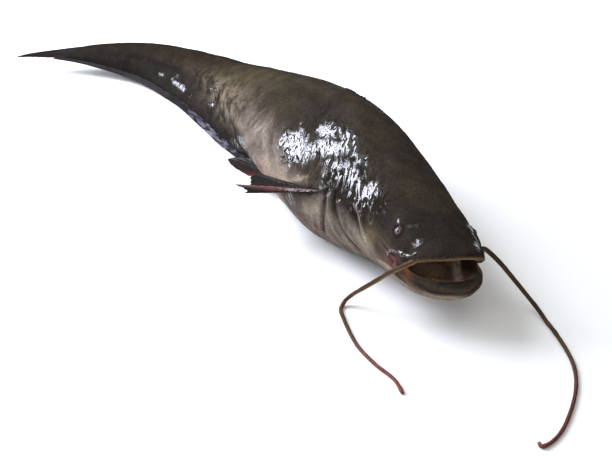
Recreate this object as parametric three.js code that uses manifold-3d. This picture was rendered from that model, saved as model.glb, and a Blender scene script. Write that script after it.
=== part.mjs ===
// A whole raw wels catfish, one metre long, lying on a flat surface with its right flank rolled up
// and its tail curving round to its right. Millimetres, +Z up, head towards +X.
//
// The fish is first shaped straight. A straight point is (along, side, up): along runs from the
// snout to the tail tip, side is positive towards the fish's right, and up is towards its back.
// posed() then bends, rolls and lowers that straight fish on to the surface, z = 0.

import * as THREE from 'three';
import { mergeVertices } from 'three/addons/utils/BufferGeometryUtils.js';
import Module from 'manifold-3d';

const wasm = await Module();
wasm.setup();

// ---- Driving dimensions ------------------------------------------------------------------------

const TOTAL_LENGTH = 1000;
const TAIL_ROOT = 925;

// The place on the axis that stays put however the rest of the fish bends.
const MIDDLE = { at: 300, x: 3, y: 1 };

// How the fish lies. turn is the way the back end of each slice points, in degrees from -X; roll
// lifts the right flank; pitch lifts the tail end of a slice; lift is the height of the axis.
const POSTURE = [
  { at: 0, turn: -28.5, roll: 4.5, pitch: -4, lift: 71.5 },
  { at: 100, turn: -20.5, roll: 17.8, pitch: -4.3, lift: 75 },
  { at: 200, turn: -14.4, roll: 26.6, pitch: -2.5, lift: 76.3 },
  { at: 300, turn: -12.2, roll: 30.9, pitch: -0.5, lift: 76.2 },
  { at: 400, turn: -13.1, roll: 33.2, pitch: -7, lift: 68 },
  { at: 500, turn: -16.2, roll: 35.4, pitch: -10.5, lift: 49.9 },
  { at: 600, turn: -12.8, roll: 37.7, pitch: -4.5, lift: 35.3 },
  { at: 700, turn: 2.8, roll: 42.1, pitch: 0, lift: 32 },
  { at: 800, turn: 24.5, roll: 51.9, pitch: 0, lift: 32.1 },
  { at: 900, turn: 47.1, roll: 65.9, pitch: -1, lift: 30.9 },
  { at: 1000, turn: 69.7, roll: 70.7, pitch: -1, lift: 29.2 },
];

// The gape: how wide and how far back the upper lip's arc reaches, and how high it arches.
const LIP = { half: 49, back: 36, middle: 26, corner: -6 };
const LOWER_LIP = { half: 53, back: 58, front: -5, rim: -11, corner: -9 };
const SNOUT = { wide: 4, crown: LIP.middle + 5, beam: LIP.middle + 3 };

// The inside of the mouth: where it starts and ends, how thick its walls are, the height of its
// roof and floor at the lips, how much lower they are further in, and where they reach that depth.
const GAPE = { front: 4, end: 130, wall: 6, roof: 23.5, floor: -2, arch: 11, scoop: 27, deep: 60 };

// Slices through head, trunk and tail: half width, top and bottom of each. beam is the height of
// the widest place, and over and under say how square the upper and lower halves are.
const SLICES = [
  { at: 0, wide: SNOUT.wide, crown: SNOUT.crown, keel: LIP.middle, beam: SNOUT.beam, over: 2.2, under: 2.2 },
  { at: LIP.back, wide: LIP.half, crown: 30.5, keel: LIP.corner, beam: 0, over: 2.1, under: 3 },
  { at: 50, wide: 52, crown: 31.5, keel: -14, beam: 0, over: 2.15, under: 2.8 },
  { at: 100, wide: 58, crown: 38.5, keel: -52, beam: 0, over: 2.3, under: 2.7 },
  { at: 150, wide: 66, crown: 51, keel: -71, beam: 0, over: 2.3, under: 2.7 },
  { at: 200, wide: 73, crown: 63.5, keel: -85, beam: 0, over: 2.3, under: 2.8 },
  { at: 250, wide: 78, crown: 74.5, keel: -92, beam: 0, over: 2.3, under: 2.7 },
  { at: 300, wide: 79, crown: 79, keel: -88, beam: 0, over: 2.3, under: 2.5 },
  { at: 350, wide: 75, crown: 77, keel: -80, beam: 0, over: 2.3, under: 2.3 },
  { at: 400, wide: 68, crown: 70.5, keel: -73, beam: 0, over: 2.3, under: 2.2 },
  { at: 450, wide: 60, crown: 66, keel: -64, beam: 0, over: 2.2, under: 2.1 },
  { at: 500, wide: 51, crown: 61.5, keel: -53, beam: 0, over: 2.1, under: 2 },
  { at: 600, wide: 36, crown: 48.5, keel: -35, beam: 0, over: 2, under: 1.9 },
  { at: 700, wide: 24, crown: 33.5, keel: -26, beam: 0, over: 2, under: 1.8 },
  { at: 800, wide: 15, crown: 23.5, keel: -18.5, beam: 0, over: 2, under: 1.8 },
  { at: 880, wide: 8.2, crown: 15.8, keel: -13, beam: 0, over: 2, under: 1.8 },
  { at: TAIL_ROOT, wide: 5, crown: 12.3, keel: -10, beam: 0, over: 2, under: 2 },
];

// Slices through the lower jaw, from its front to where it is lost in the throat. Behind the mouth
// its sides lie this far inside the cheeks.
const JAW_END = 140;
const JAW_INSET = 7;
const JAW = [
  { at: LOWER_LIP.front, keel: -25 },
  { at: 10, keel: -34 },
  { at: 40, keel: -45 },
  { at: 80, keel: -55 },
  { at: JAW_END, keel: -68 },
];

const EYE = { at: 69, angle: 72, sunk: 3.5, radius: 6, gap: 0.3 };
const BARBEL = { root: 3.8, tip: 2, sides: 8, clear: 0.3, steps: 40 };

// The chin's short barbels: how far each pair is from the middle, where the first pair starts and
// how far behind it the second does, and their line as steps back along the jaw and out of it.
const CHIN = {
  root: 2.4, tip: 1.2, steps: 8, apart: [11, 21], start: 34, behind: 10, bulge: 14,
  line: [[0, 6], [9, -1], [24, -2.5], [42, -3]],
};

// How much closer together the slices are towards the front, and how much a fin's rays stand out.
const CROWDING = 1.6;
const RAY_RIDGE = 0.12;

// ---- Curves ------------------------------------------------------------------------------------

// A smooth curve through one value of a table of rows, without overshoot between them.
function curve(rows, key) {
  const x = rows.map((row) => row.at);
  const y = rows.map((row) => row[key]);
  const rise = x.slice(1).map((end, i) => (y[i + 1] - y[i]) / (end - x[i]));
  const slope = x.map((_, i) => {
    if (i === 0) return rise[0];
    if (i === x.length - 1) return rise[i - 1];
    return rise[i - 1] * rise[i] > 0 ? 2 / (1 / rise[i - 1] + 1 / rise[i]) : 0;
  });
  return (at) => {
    const p = THREE.MathUtils.clamp(at, x[0], x[x.length - 1]);
    let i = 0;
    while (i < x.length - 2 && p > x[i + 1]) i += 1;
    const width = x[i + 1] - x[i];
    const u = (p - x[i]) / width;
    const start = y[i] * (1 + 2 * u) * (1 - u) ** 2 + slope[i] * width * u * (1 - u) ** 2;
    return start + y[i + 1] * u * u * (3 - 2 * u) + slope[i + 1] * width * u * u * (u - 1);
  };
}

// An arc's half width at a distance behind its front, given how far back its ends are.
function arcWidth(half, depth, behind) {
  const rest = THREE.MathUtils.clamp(1 - behind / depth, 0, 1);
  return half * Math.sqrt(1 - rest * rest);
}

const signedPower = (value, power) => Math.sign(value) * Math.abs(value) ** power;

// ---- Posture -----------------------------------------------------------------------------------

const posture = {
  turn: curve(POSTURE, 'turn'),
  roll: curve(POSTURE, 'roll'),
  pitch: curve(POSTURE, 'pitch'),
  lift: curve(POSTURE, 'lift'),
};

// The axis of the fish, walked from the snout in short steps and then moved to its middle's place.
const AXIS_STEP = 5;
const axis = [new THREE.Vector3(0, 0, posture.lift(0))];
for (let at = 0; at < TOTAL_LENGTH; at += AXIS_STEP) {
  const turn = THREE.MathUtils.degToRad(posture.turn(at + AXIS_STEP / 2));
  const height = posture.lift(at + AXIS_STEP);
  const last = axis[axis.length - 1];
  const level = Math.sqrt(AXIS_STEP ** 2 - (height - last.z) ** 2);
  axis.push(new THREE.Vector3(last.x - level * Math.cos(turn), last.y - level * Math.sin(turn), height));
}
const middle = axis[MIDDLE.at / AXIS_STEP];
const moved = new THREE.Vector3(MIDDLE.x - middle.x, MIDDLE.y - middle.y, 0);
for (const point of axis) point.add(moved);

// Where a straight point lies on the posed fish.
function posed(point) {
  const at = THREE.MathUtils.clamp(point.x, 0, TOTAL_LENGTH);
  const turn = THREE.MathUtils.degToRad(posture.turn(at));
  const roll = THREE.MathUtils.degToRad(posture.roll(at));
  const pitch = THREE.MathUtils.degToRad(posture.pitch(at));
  const aft = new THREE.Vector3(
    -Math.cos(turn) * Math.cos(pitch), -Math.sin(turn) * Math.cos(pitch), Math.sin(pitch));
  const right = new THREE.Vector3(Math.sin(turn), -Math.cos(turn), 0).applyAxisAngle(aft, roll);
  const back = new THREE.Vector3().crossVectors(aft, right);
  const step = Math.min(Math.floor(at / AXIS_STEP), axis.length - 2);
  return axis[step].clone().lerp(axis[step + 1], at / AXIS_STEP - step)
    .addScaledVector(aft, point.x - at)
    .addScaledVector(right, point.y)
    .addScaledVector(back, point.z);
}

// ---- Solids ------------------------------------------------------------------------------------

// A closed skin: a capped cylinder whose points are moved to shape(t, angle, reach), where t runs
// from 0 to 1 along it, angle round it, and reach is 1 on the skin and 0 at the middle of a cap.
function skin(along, around, shape) {
  const geometry = new THREE.CylinderGeometry(1, 1, 1, around, along);
  const position = geometry.getAttribute('position');
  for (let i = 0; i < position.count; i += 1) {
    const angle = Math.atan2(position.getX(i), position.getZ(i));
    const reach = Math.hypot(position.getX(i), position.getZ(i));
    const point = shape(0.5 - position.getY(i), angle, Math.round(reach));
    position.setXYZ(i, point.x, point.y, point.z);
  }
  return toSolid(geometry);
}

function toSolid(geometry) {
  geometry.deleteAttribute('normal');
  geometry.deleteAttribute('uv');
  const merged = mergeVertices(geometry, 1e-4);
  const vertProperties = Float32Array.from(merged.getAttribute('position').array);
  const triVerts = Uint32Array.from(merged.getIndex().array);
  const solid = new wasm.Manifold(new wasm.Mesh({ numProp: 3, vertProperties, triVerts }));
  if (solid.volume() > 0) return solid;
  for (let i = 0; i < triVerts.length; i += 3) {
    [triVerts[i + 1], triVerts[i + 2]] = [triVerts[i + 2], triVerts[i + 1]];
  }
  return new wasm.Manifold(new wasm.Mesh({ numProp: 3, vertProperties, triVerts }));
}

function toGeometry(solid) {
  const mesh = solid.getMesh();
  const geometry = new THREE.BufferGeometry();
  geometry.setAttribute('position', new THREE.BufferAttribute(mesh.vertProperties, 3));
  geometry.setIndex(new THREE.BufferAttribute(mesh.triVerts, 1));
  geometry.computeVertexNormals();
  return geometry;
}

// The solid with every straight point put where it lies on the posed fish.
function pose(solid) {
  const geometry = toGeometry(solid);
  const position = geometry.getAttribute('position');
  const point = new THREE.Vector3();
  for (let i = 0; i < position.count; i += 1) {
    const bent = posed(point.fromBufferAttribute(position, i));
    position.setXYZ(i, bent.x, bent.y, bent.z);
  }
  return toSolid(geometry);
}

// ---- Head, trunk and tail ----------------------------------------------------------------------

const slice = {
  wide: curve(SLICES, 'wide'),
  crown: curve(SLICES, 'crown'),
  keel: curve(SLICES, 'keel'),
  beam: curve(SLICES, 'beam'),
  over: curve(SLICES, 'over'),
  under: curve(SLICES, 'under'),
};

// Half the width of the head and trunk: the upper lip's arc first, then the slices.
function halfWidth(at) {
  return at < LIP.back ? Math.max(2, arcWidth(LIP.half, LIP.back, at)) : slice.wide(at);
}

// A point of the body's skin, grown outwards; angle 0 is its back and 90 degrees its right side.
function flank(at, angle, grow = 0) {
  const across = Math.sin(angle);
  const above = Math.cos(angle);
  const square = above > 0 ? slice.over(at) : slice.under(at);
  const height = above > 0 ? slice.crown(at) - slice.beam(at) : slice.beam(at) - slice.keel(at);
  return new THREE.Vector3(
    at,
    (halfWidth(at) + grow) * signedPower(across, 2 / square),
    slice.beam(at) + (height + grow) * signedPower(above, 2 / square));
}

// The body as one skin, with its slices closer together towards the snout.
function body() {
  return skin(56, 32, (t, angle, reach) => {
    const at = TAIL_ROOT * t ** CROWDING;
    const point = flank(at, angle);
    point.y *= reach;
    point.z = slice.beam(at) + (point.z - slice.beam(at)) * reach;
    return point;
  });
}

// The lower jaw, a deep scoop whose rim meets the upper lip at the corners of the mouth.
function lowerJaw() {
  const keel = curve(JAW, 'keel');
  const rimAt = (at) => THREE.MathUtils.mapLinear(
    Math.min(at, LOWER_LIP.back), LOWER_LIP.front, LOWER_LIP.back, LOWER_LIP.rim, LOWER_LIP.corner);
  return skin(16, 24, (t, angle, reach) => {
    const at = THREE.MathUtils.lerp(LOWER_LIP.front, JAW_END, t ** CROWDING);
    const depth = LOWER_LIP.back - LOWER_LIP.front;
    const arc = arcWidth(LOWER_LIP.half, depth, at - LOWER_LIP.front);
    const half = at < LOWER_LIP.back ? Math.max(2, arc) : slice.wide(at) - JAW_INSET;
    const top = rimAt(at);
    const bottom = keel(at);
    const middle = (top * 2 + bottom) / 3;
    const above = Math.cos(angle);
    const up = above > 0 ? (top - middle) * above ** 0.7 : -(middle - bottom) * (-above) ** 0.9;
    return new THREE.Vector3(at, half * signedPower(Math.sin(angle), 0.85) * reach, middle + up * reach);
  });
}

// The inside of the mouth, open at the front between the lips, with an arched roof.
function gape() {
  const ahead = -20;
  return skin(20, 20, (t, angle, reach) => {
    const at = THREE.MathUtils.lerp(ahead, GAPE.end, t);
    const open = arcWidth(LIP.half - GAPE.wall, LIP.back + 8, Math.max(0, at - GAPE.front) + 10);
    const half = open * (1 - 0.5 * THREE.MathUtils.smoothstep(at, 50, GAPE.end));
    const deep = THREE.MathUtils.clamp((at - GAPE.front) / GAPE.deep, 0, 1);
    const roof = GAPE.roof - GAPE.arch * deep;
    const floor = GAPE.floor - GAPE.scoop * Math.sqrt(deep);
    const middle = THREE.MathUtils.lerp(floor, roof, 0.35);
    const above = Math.cos(angle);
    const up = above > 0 ? (roof - middle) * above : (middle - floor) * above;
    return new THREE.Vector3(at, half * signedPower(Math.sin(angle), 0.8) * reach, middle + up * reach);
  });
}

// ---- Fins --------------------------------------------------------------------------------------

const straightLine = (points) => new THREE.CatmullRomCurve3(
  points.map(([along, side, up]) => new THREE.Vector3(along, side, up)), false, 'centripetal');

// A fin: rays run from a root line to an edge line, thick at the root and thin at the edge.
// Each ray is a low ridge, and the edge is notched between rays.
function fin({ root, edge, rays, thick, thin, outward, notch = 0 }) {
  const rootLine = straightLine(root);
  const edgeLine = straightLine(edge);
  return skin(rays * 2, 10, (t, angle, reach) => {
    const out = (1 - Math.cos(angle)) / 2;
    const ridge = Math.cos(2 * Math.PI * rays * t);
    const start = rootLine.getPoint(t);
    const end = edgeLine.getPoint(t).lerp(start, notch * (1 - ridge) / 2);
    const mean = start.clone().lerp(end, 0.5);
    const half = THREE.MathUtils.lerp(thick, thin, out) * (1 + RAY_RIDGE * ridge) / 2;
    return mean.lerp(start.lerp(end, out), reach)
      .addScaledVector(outward, half * Math.sin(angle) * reach);
  });
}

function pectoralFin(side) {
  if (side > 0) {
    return fin({
      root: [[198, 64, -16], [210, 65, -24], [224, 66, -30]],
      edge: [[283, 114, -79], [300, 122, -76], [299, 108, -67], [311, 98, -59], [303, 86, -48]],
      rays: 9, thick: 8, thin: 2, outward: new THREE.Vector3(0.3, 0.5, -0.8).normalize(), notch: 0.06,
    });
  }
  return fin({
    root: [[198, -67, -16], [210, -68, -24], [224, -68, -30]],
    edge: [[302, -99, -12], [312, -98, -19], [306, -95, -26], [294, -92, -30]],
    rays: 9, thick: 8, thin: 2, outward: new THREE.Vector3(0.1, -1, -0.2).normalize(), notch: 0.06,
  });
}

function pelvicFin(side) {
  if (side > 0) {
    return fin({
      root: [[360, 36, -58], [364, 33, -67], [366, 30, -74]],
      edge: [[399, 47, -62], [415, 53, -67], [426, 57, -76], [418, 50, -81], [394, 39, -82]],
      rays: 7, thick: 6, thin: 1.8, outward: new THREE.Vector3(-0.2, 0.9, 0.35).normalize(), notch: 0.05,
    });
  }
  return fin({
    root: [[350, -60, -40], [357, -59, -45], [366, -57, -48]],
    edge: [[399, -73, -19], [413, -73, -20], [417, -70, -25], [408, -67, -31]],
    rays: 7, thick: 6, thin: 1.8, outward: new THREE.Vector3(0, -1, -0.4).normalize(), notch: 0.05,
  });
}

function dorsalFin() {
  return fin({
    root: [[268, 0, 70], [280, 0, 72], [292, 0, 73]],
    edge: [[330, -6, 84], [344, -9, 81], [344, -9, 77], [332, -6, 74]],
    rays: 4, thick: 6, thin: 2, outward: new THREE.Vector3(0, 1, 0), notch: 0.05,
  });
}

// The long anal fin, its soft edge turned out on to the surface along the right side.
function analFin() {
  return fin({
    root: [[438, 0, -58], [500, 0, -44], [600, 0, -29], [700, 0, -21], [800, 0, -14], [912, 0, -7]],
    edge: [[446, 2, -69], [462, 10, -73], [500, 17, -73], [530, 22, -71], [560, 25, -67], [630, 27, -62],
      [669, 23, -60], [716, 16, -57.5], [764, 9, -52], [812, 3, -44.5], [872, 2, -34], [920, 0, -21]],
    rays: 30, thick: 7, thin: 1.8, outward: new THREE.Vector3(0, 1, 0), notch: 0.08,
  });
}

function tailFin() {
  return fin({
    root: [[908, 0, 11], [908, 0, 0], [908, 0, -9]],
    edge: [[962, 0, 8], [985, 1, 8], [1000, 1, 6], [984, 0, 1], [958, 0, -6]],
    rays: 8, thick: 6, thin: 2, outward: new THREE.Vector3(0, 1, 0), notch: 0.04,
  });
}

// ---- Barbels -----------------------------------------------------------------------------------

// A whisker along a route of posed points: round, tapering, and never below the surface.
function whisker(route, rootRadius, tipRadius, along) {
  const line = new THREE.CatmullRomCurve3(route, false, 'centripetal');
  return skin(along, BARBEL.sides, (t, angle, reach) => {
    const centre = line.getPointAt(t);
    const ahead = line.getTangentAt(t);
    const level = new THREE.Vector3(-ahead.y, ahead.x, 0).normalize();
    const upright = new THREE.Vector3().crossVectors(ahead, level);
    const thickness = THREE.MathUtils.lerp(rootRadius, tipRadius, t ** 0.5);
    centre.z = Math.max(centre.z, thickness + BARBEL.clear);
    const radius = thickness * reach;
    return centre
      .addScaledVector(level, radius * Math.sin(angle))
      .addScaledVector(upright, radius * Math.cos(angle));
  });
}

function longBarbels() {
  const right = [
    posed(new THREE.Vector3(44, 46, 2)),
    new THREE.Vector3(235, -123, 76),
    new THREE.Vector3(217, -128, 59),
    new THREE.Vector3(203, -132, 44),
    new THREE.Vector3(187, -137, 27),
    new THREE.Vector3(175, -140, 14),
    new THREE.Vector3(170, -146, 6),
    new THREE.Vector3(174, -157, 0),
    new THREE.Vector3(188, -167, 0),
    new THREE.Vector3(233, -191, 0),
    new THREE.Vector3(268, -200, 0),
    new THREE.Vector3(300, -204, 0),
    new THREE.Vector3(321, -214, 0),
  ];
  const left = [
    posed(new THREE.Vector3(44, -46, 2)),
    new THREE.Vector3(263, -16, 62),
    new THREE.Vector3(278, -8, 49),
    new THREE.Vector3(296, -4, 34),
    new THREE.Vector3(313, -1, 20),
    new THREE.Vector3(336, -3, 8),
    new THREE.Vector3(362, -13, 0),
    new THREE.Vector3(412, -45, 0),
    new THREE.Vector3(436, -72, 0),
    new THREE.Vector3(455, -107, 0),
    new THREE.Vector3(468, -143, 0),
    new THREE.Vector3(470, -165, 0),
    new THREE.Vector3(467, -174, 0),
    new THREE.Vector3(461, -171, 0),
  ];
  return [right, left].map((route) => whisker(route, BARBEL.root, BARBEL.tip, BARBEL.steps));
}

// The four short barbels of the chin, swept back along the throat.
function chinBarbels() {
  const keel = curve(JAW, 'keel');
  return [1, -1].flatMap((side) => CHIN.apart.map((offset, i) => {
    const rise = (offset / LOWER_LIP.half) ** 2 * CHIN.bulge;
    const route = CHIN.line.map(([along, up]) => {
      const at = CHIN.start + CHIN.behind * i + along;
      return posed(new THREE.Vector3(at, side * offset, keel(at) + up + rise));
    });
    return whisker(route, CHIN.root, CHIN.tip, CHIN.steps);
  }));
}

// ---- The fish ----------------------------------------------------------------------------------

function eyeball(side, radius) {
  const middle = posed(flank(EYE.at, side * THREE.MathUtils.degToRad(EYE.angle), -EYE.sunk));
  const geometry = new THREE.SphereGeometry(radius, 14, 10);
  geometry.translate(middle.x, middle.y, middle.z);
  return toSolid(geometry);
}

// Everything below z = 0, which leaves the belly, jaw and fins flat where they touch the surface.
function below() {
  const depth = 200;
  const geometry = new THREE.BoxGeometry(2 * TOTAL_LENGTH, 2 * TOTAL_LENGTH, depth);
  geometry.translate(0, 0, -depth / 2);
  return toSolid(geometry);
}

const joined = (solids) => solids.reduce((whole, solid) => whole.add(solid));

function wholeFish() {
  const pairs = [1, -1].flatMap((side) => [pectoralFin(side), pelvicFin(side)]);
  const fins = [...pairs, dorsalFin(), analFin(), tailFin()];
  const straight = joined([body(), lowerJaw()]).subtract(gape());
  const whole = joined([pose(joined([straight, ...fins])), ...longBarbels(), ...chinBarbels()]);
  const sockets = [1, -1].map((side) => eyeball(side, EYE.radius + EYE.gap));
  return whole.subtract(joined([below(), ...sockets]));
}

const skinMaterial = () => new THREE.MeshStandardMaterial({ color: 0x453f37, roughness: 0.35, metalness: 0 });
const eyeMaterial = () => new THREE.MeshStandardMaterial({ color: 0x766968, roughness: 0.15, metalness: 0 });

function piece(name, solid, material) {
  const mesh = new THREE.Mesh(toGeometry(solid), material);
  mesh.name = name;
  return mesh;
}

const catfish = new THREE.Group();
catfish.add(piece('fish', wholeFish(), skinMaterial()));
catfish.add(piece('eye_right', eyeball(1, EYE.radius), eyeMaterial()));
catfish.add(piece('eye_left', eyeball(-1, EYE.radius), eyeMaterial()));

export default catfish;
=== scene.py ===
"""A whole raw catfish, one metre long, lying on a level surface with its mouth open.

The fish is shaped straight, in millimetres: along runs from the snout to the tail tip, side is
positive towards the fish's right, and up is towards its back. A Posture then bends it on to the
surface. Each mesh keeps its straight places as attributes, so that the patterns of the skin
follow the fish.
"""

import logging
import math
from dataclasses import dataclass, field
from enum import Enum
from typing import Callable, Sequence

import bmesh
import bpy
import numpy as np
from bpy.types import Material, Mesh, Node, NodeSocket, NodeTree, Object
from mathutils import Matrix, Vector, noise


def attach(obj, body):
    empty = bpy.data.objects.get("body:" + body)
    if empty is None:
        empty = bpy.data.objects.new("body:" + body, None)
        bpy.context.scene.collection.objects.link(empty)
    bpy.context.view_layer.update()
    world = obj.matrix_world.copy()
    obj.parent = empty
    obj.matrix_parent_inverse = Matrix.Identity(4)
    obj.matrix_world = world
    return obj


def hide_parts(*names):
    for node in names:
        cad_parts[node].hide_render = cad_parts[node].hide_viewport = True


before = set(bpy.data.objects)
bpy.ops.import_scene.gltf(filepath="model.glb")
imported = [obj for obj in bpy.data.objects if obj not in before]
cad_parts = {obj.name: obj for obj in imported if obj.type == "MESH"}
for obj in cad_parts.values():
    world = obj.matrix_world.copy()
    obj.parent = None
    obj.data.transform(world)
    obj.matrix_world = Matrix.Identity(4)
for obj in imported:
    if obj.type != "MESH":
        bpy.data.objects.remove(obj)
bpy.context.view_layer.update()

log = logging.getLogger("catfish")

MM = 0.001
ROUTE_FINENESS = 40  # places looked up for each point of a route
Colour = tuple[float, float, float, float]
Triple = tuple[float, float, float]
Points = np.ndarray


class Side(Enum):
    """The two sides of the fish, with the sign of their straight places."""

    RIGHT = 1
    LEFT = -1


class Slot(Enum):
    """The material slots of the record."""

    SKIN = "skin"
    EYE = "eye"


# ---- Numbers and curves ----


def srgb(red: float, green: float, blue: float) -> Colour:
    """A linear colour with an alpha of 1, from screen values of 0 to 255."""
    shares = (red / 255, green / 255, blue / 255)
    return (*(v / 12.92 if v <= 0.04045 else ((v + 0.055) / 1.055) ** 2.4 for v in shares), 1.0)


def smoothstep(low: float | Points, high: float | Points, value: Points) -> Points:
    """A smooth rise from 0 at low to 1 at high, looked up at each value."""
    t = np.clip((value - low) / (high - low), 0, 1)
    return t * t * (3 - 2 * t)


def window(value: Points, start: float, top: float, last: float, end: float) -> Points:
    """A smooth rise from 0 at start to 1 at top, and a smooth fall from 1 at last to 0 at end."""
    return smoothstep(start, top, value) * smoothstep(end, last, value)


def bell(distance: Points, width: float) -> Points:
    """A soft peak of 1 at distance 0 that has died away at about twice its width."""
    return np.exp(-((distance / width) ** 2))


def power(value: Points, exponent: float | Points) -> Points:
    """A power that keeps the sign of its value."""
    return np.sign(value) * np.abs(value) ** exponent


def noise_at(places: Points, size: Sequence[float], shift: Sequence[float] = (0, 0, 0)) -> Points:
    """A smooth noise of about -1 to 1: size is how coarse it is, shift which part of it is read."""
    rows = places / np.array(size) + np.array(shift)
    return np.array([noise.noise(Vector(row)) for row in rows])


def arc_width(half: float, depth: float, behind: Points) -> Points:
    """The half width of an arc of a given half width and depth, at distances behind its front."""
    rest = np.clip(1 - behind / depth, 0, 1)
    return half * np.sqrt(1 - rest * rest)


class SmoothCurve:
    """A curve through rows of values that never overshoots between them."""

    def __init__(self, places: Sequence[float], values: Sequence[float]) -> None:
        """Works out the slope at each row.

        Args:
            places: where the rows are, in rising order.
            values: the value at each place.
        """
        self.places = np.array(places, float)
        self.values = np.array(values, float)
        rise = np.diff(self.values) / np.diff(self.places)
        same = rise[:-1] * rise[1:] > 0
        mean = np.zeros(len(rise) - 1)
        mean[same] = 2 / (1 / rise[:-1][same] + 1 / rise[1:][same])
        self.slope = np.concatenate([rise[:1], mean, rise[-1:]])

    def __call__(self, at: Points) -> Points:
        """The value of the curve.

        Args:
            at: the places to look up.

        Returns:
            One value for each place.
        """
        at = np.clip(np.asarray(at, float), self.places[0], self.places[-1])
        last = len(self.places) - 2
        i = np.clip(np.searchsorted(self.places, at, side="right") - 1, 0, last)
        width = self.places[i + 1] - self.places[i]
        u = (at - self.places[i]) / width
        start = self.values[i] * (1 + 2 * u) + self.slope[i] * width * u
        end = self.values[i + 1] * (3 - 2 * u) + self.slope[i + 1] * width * (u - 1)
        return start * (1 - u) ** 2 + end * u * u


def route_points(route: Sequence[Sequence[float]], count: int) -> Points:
    """Evenly spaced points on a smooth line through a route.

    Args:
        route: the points that the line goes through.
        count: how many points to return.

    Returns:
        An array of count points.
    """
    knots = np.array(route, float)
    steps = np.linalg.norm(np.diff(knots, axis=0), axis=1) ** 0.5
    time = np.concatenate([[0], np.cumsum(steps)])
    ahead = knots[0] * 2 - knots[1]
    behind = knots[-1] * 2 - knots[-2]
    padded = np.vstack([ahead, knots, behind])
    spread = np.concatenate([[-steps[0]], time, [time[-1] + steps[-1]]])
    fine = np.linspace(0, time[-1], ROUTE_FINENESS * len(knots))
    i = np.clip(np.searchsorted(time, fine, side="right") - 1, 0, len(knots) - 2)
    times = [spread[i + k][:, None] for k in range(4)]
    blend = [padded[i + k] for k in range(4)]
    t = fine[:, None]
    for spans in (((0, 1), (1, 2), (2, 3)), ((0, 2), (1, 3)), ((1, 2),)):
        blend = [
            ((times[b] - t) * blend[n] + (t - times[a]) * blend[n + 1]) / (times[b] - times[a])
            for n, (a, b) in enumerate(spans)
        ]
    line = blend[0]
    length = np.concatenate([[0], np.cumsum(np.linalg.norm(np.diff(line, axis=0), axis=1))])
    even = np.linspace(0, length[-1], count)
    return np.stack([np.interp(even, length, line[:, k]) for k in range(3)], axis=1)


# ---- Posture and body ----


class Posture:
    """How the fish lies: the way its axis runs and how each slice is turned about it."""

    LENGTH = 1000
    STEP = 5
    MIDDLE = (300, 3, 1)  # the place on the axis that stays put, and its x and y
    # along, turn from -X, roll that lifts the right flank, pitch that lifts the tail end, height
    ROWS = (
        (0, -28.5, 4.5, -4, 71.5),
        (100, -20.5, 17.8, -4.3, 75),
        (200, -14.4, 26.6, -2.5, 76.3),
        (300, -12.2, 30.9, -0.5, 76.2),
        (400, -13.1, 33.2, -7, 68),
        (500, -16.2, 35.4, -10.5, 49.9),
        (600, -12.8, 37.7, -4.5, 35.3),
        (700, 2.8, 42.1, 0, 32),
        (800, 24.5, 51.9, 0, 32.1),
        (900, 47.1, 65.9, -1, 30.9),
        (1000, 69.7, 70.7, -1, 29.2),
    )

    def __init__(self) -> None:
        """Walks the axis from the snout and moves it to its middle's place."""
        columns = list(zip(*self.ROWS))
        self.turn, self.roll, self.pitch, self.lift = (
            SmoothCurve(columns[0], column) for column in columns[1:]
        )
        self.steps = np.arange(0, self.LENGTH + 1, self.STEP, dtype=float)
        heights = self.lift(self.steps)
        level = np.sqrt(self.STEP**2 - np.diff(heights) ** 2)
        turn = np.radians(self.turn(self.steps[:-1] + self.STEP / 2))
        x = np.concatenate([[0], np.cumsum(-level * np.cos(turn))])
        y = np.concatenate([[0], np.cumsum(-level * np.sin(turn))])
        at, middle_x, middle_y = self.MIDDLE
        i = at // self.STEP
        self.axis = np.stack([x - x[i] + middle_x, y - y[i] + middle_y, heights], axis=1)

    def posed(self, places: Points) -> Points:
        """Where straight places lie on the posed fish, in millimetres.

        Args:
            places: rows of along, side and up.

        Returns:
            Rows of x, y and z.
        """
        places = np.atleast_2d(places)
        at = np.clip(places[:, 0], 0, self.LENGTH)
        turn, roll, pitch = (np.radians(c(at)) for c in (self.turn, self.roll, self.pitch))
        level = np.cos(pitch)
        aft = np.stack([-np.cos(turn) * level, -np.sin(turn) * level, np.sin(pitch)], axis=1)
        right = np.stack([np.sin(turn), -np.cos(turn), 0 * turn], axis=1)
        back = np.cross(aft, right)
        cos, sin = np.cos(roll)[:, None], np.sin(roll)[:, None]
        centre = np.stack([np.interp(at, self.steps, self.axis[:, k]) for k in range(3)], axis=1)
        return (
            centre
            + aft * (places[:, 0] - at)[:, None]
            + (right * cos + back * sin) * places[:, 1:2]
            + (back * cos - right * sin) * places[:, 2:3]
        )


# The anal fin's free edge, from its front to the tail.
ANAL_EDGE = (
    (446, 2, -69), (462, 10, -73), (500, 17, -73), (530, 22, -71), (560, 25, -67), (630, 27, -62),
    (669, 23, -60), (716, 16, -57.5), (764, 9, -51), (812, 3, -42.5), (872, 1, -32), (912, 0, -21),
    (940, 0, -13), (952, 0, -9),
)


@dataclass(frozen=True)
class UpperLip:
    """The upper lip's arc: its half width, how far back its ends are, and their height."""

    half: float = 49
    back: float = 36
    corner: float = -6


@dataclass(frozen=True)
class LowerLip:
    """The lower lip's arc, with the height of its rim at the front and at its corners."""

    half: float = 53
    back: float = 58
    front: float = -5
    rim: float = -11
    corner: float = -5.5


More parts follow.
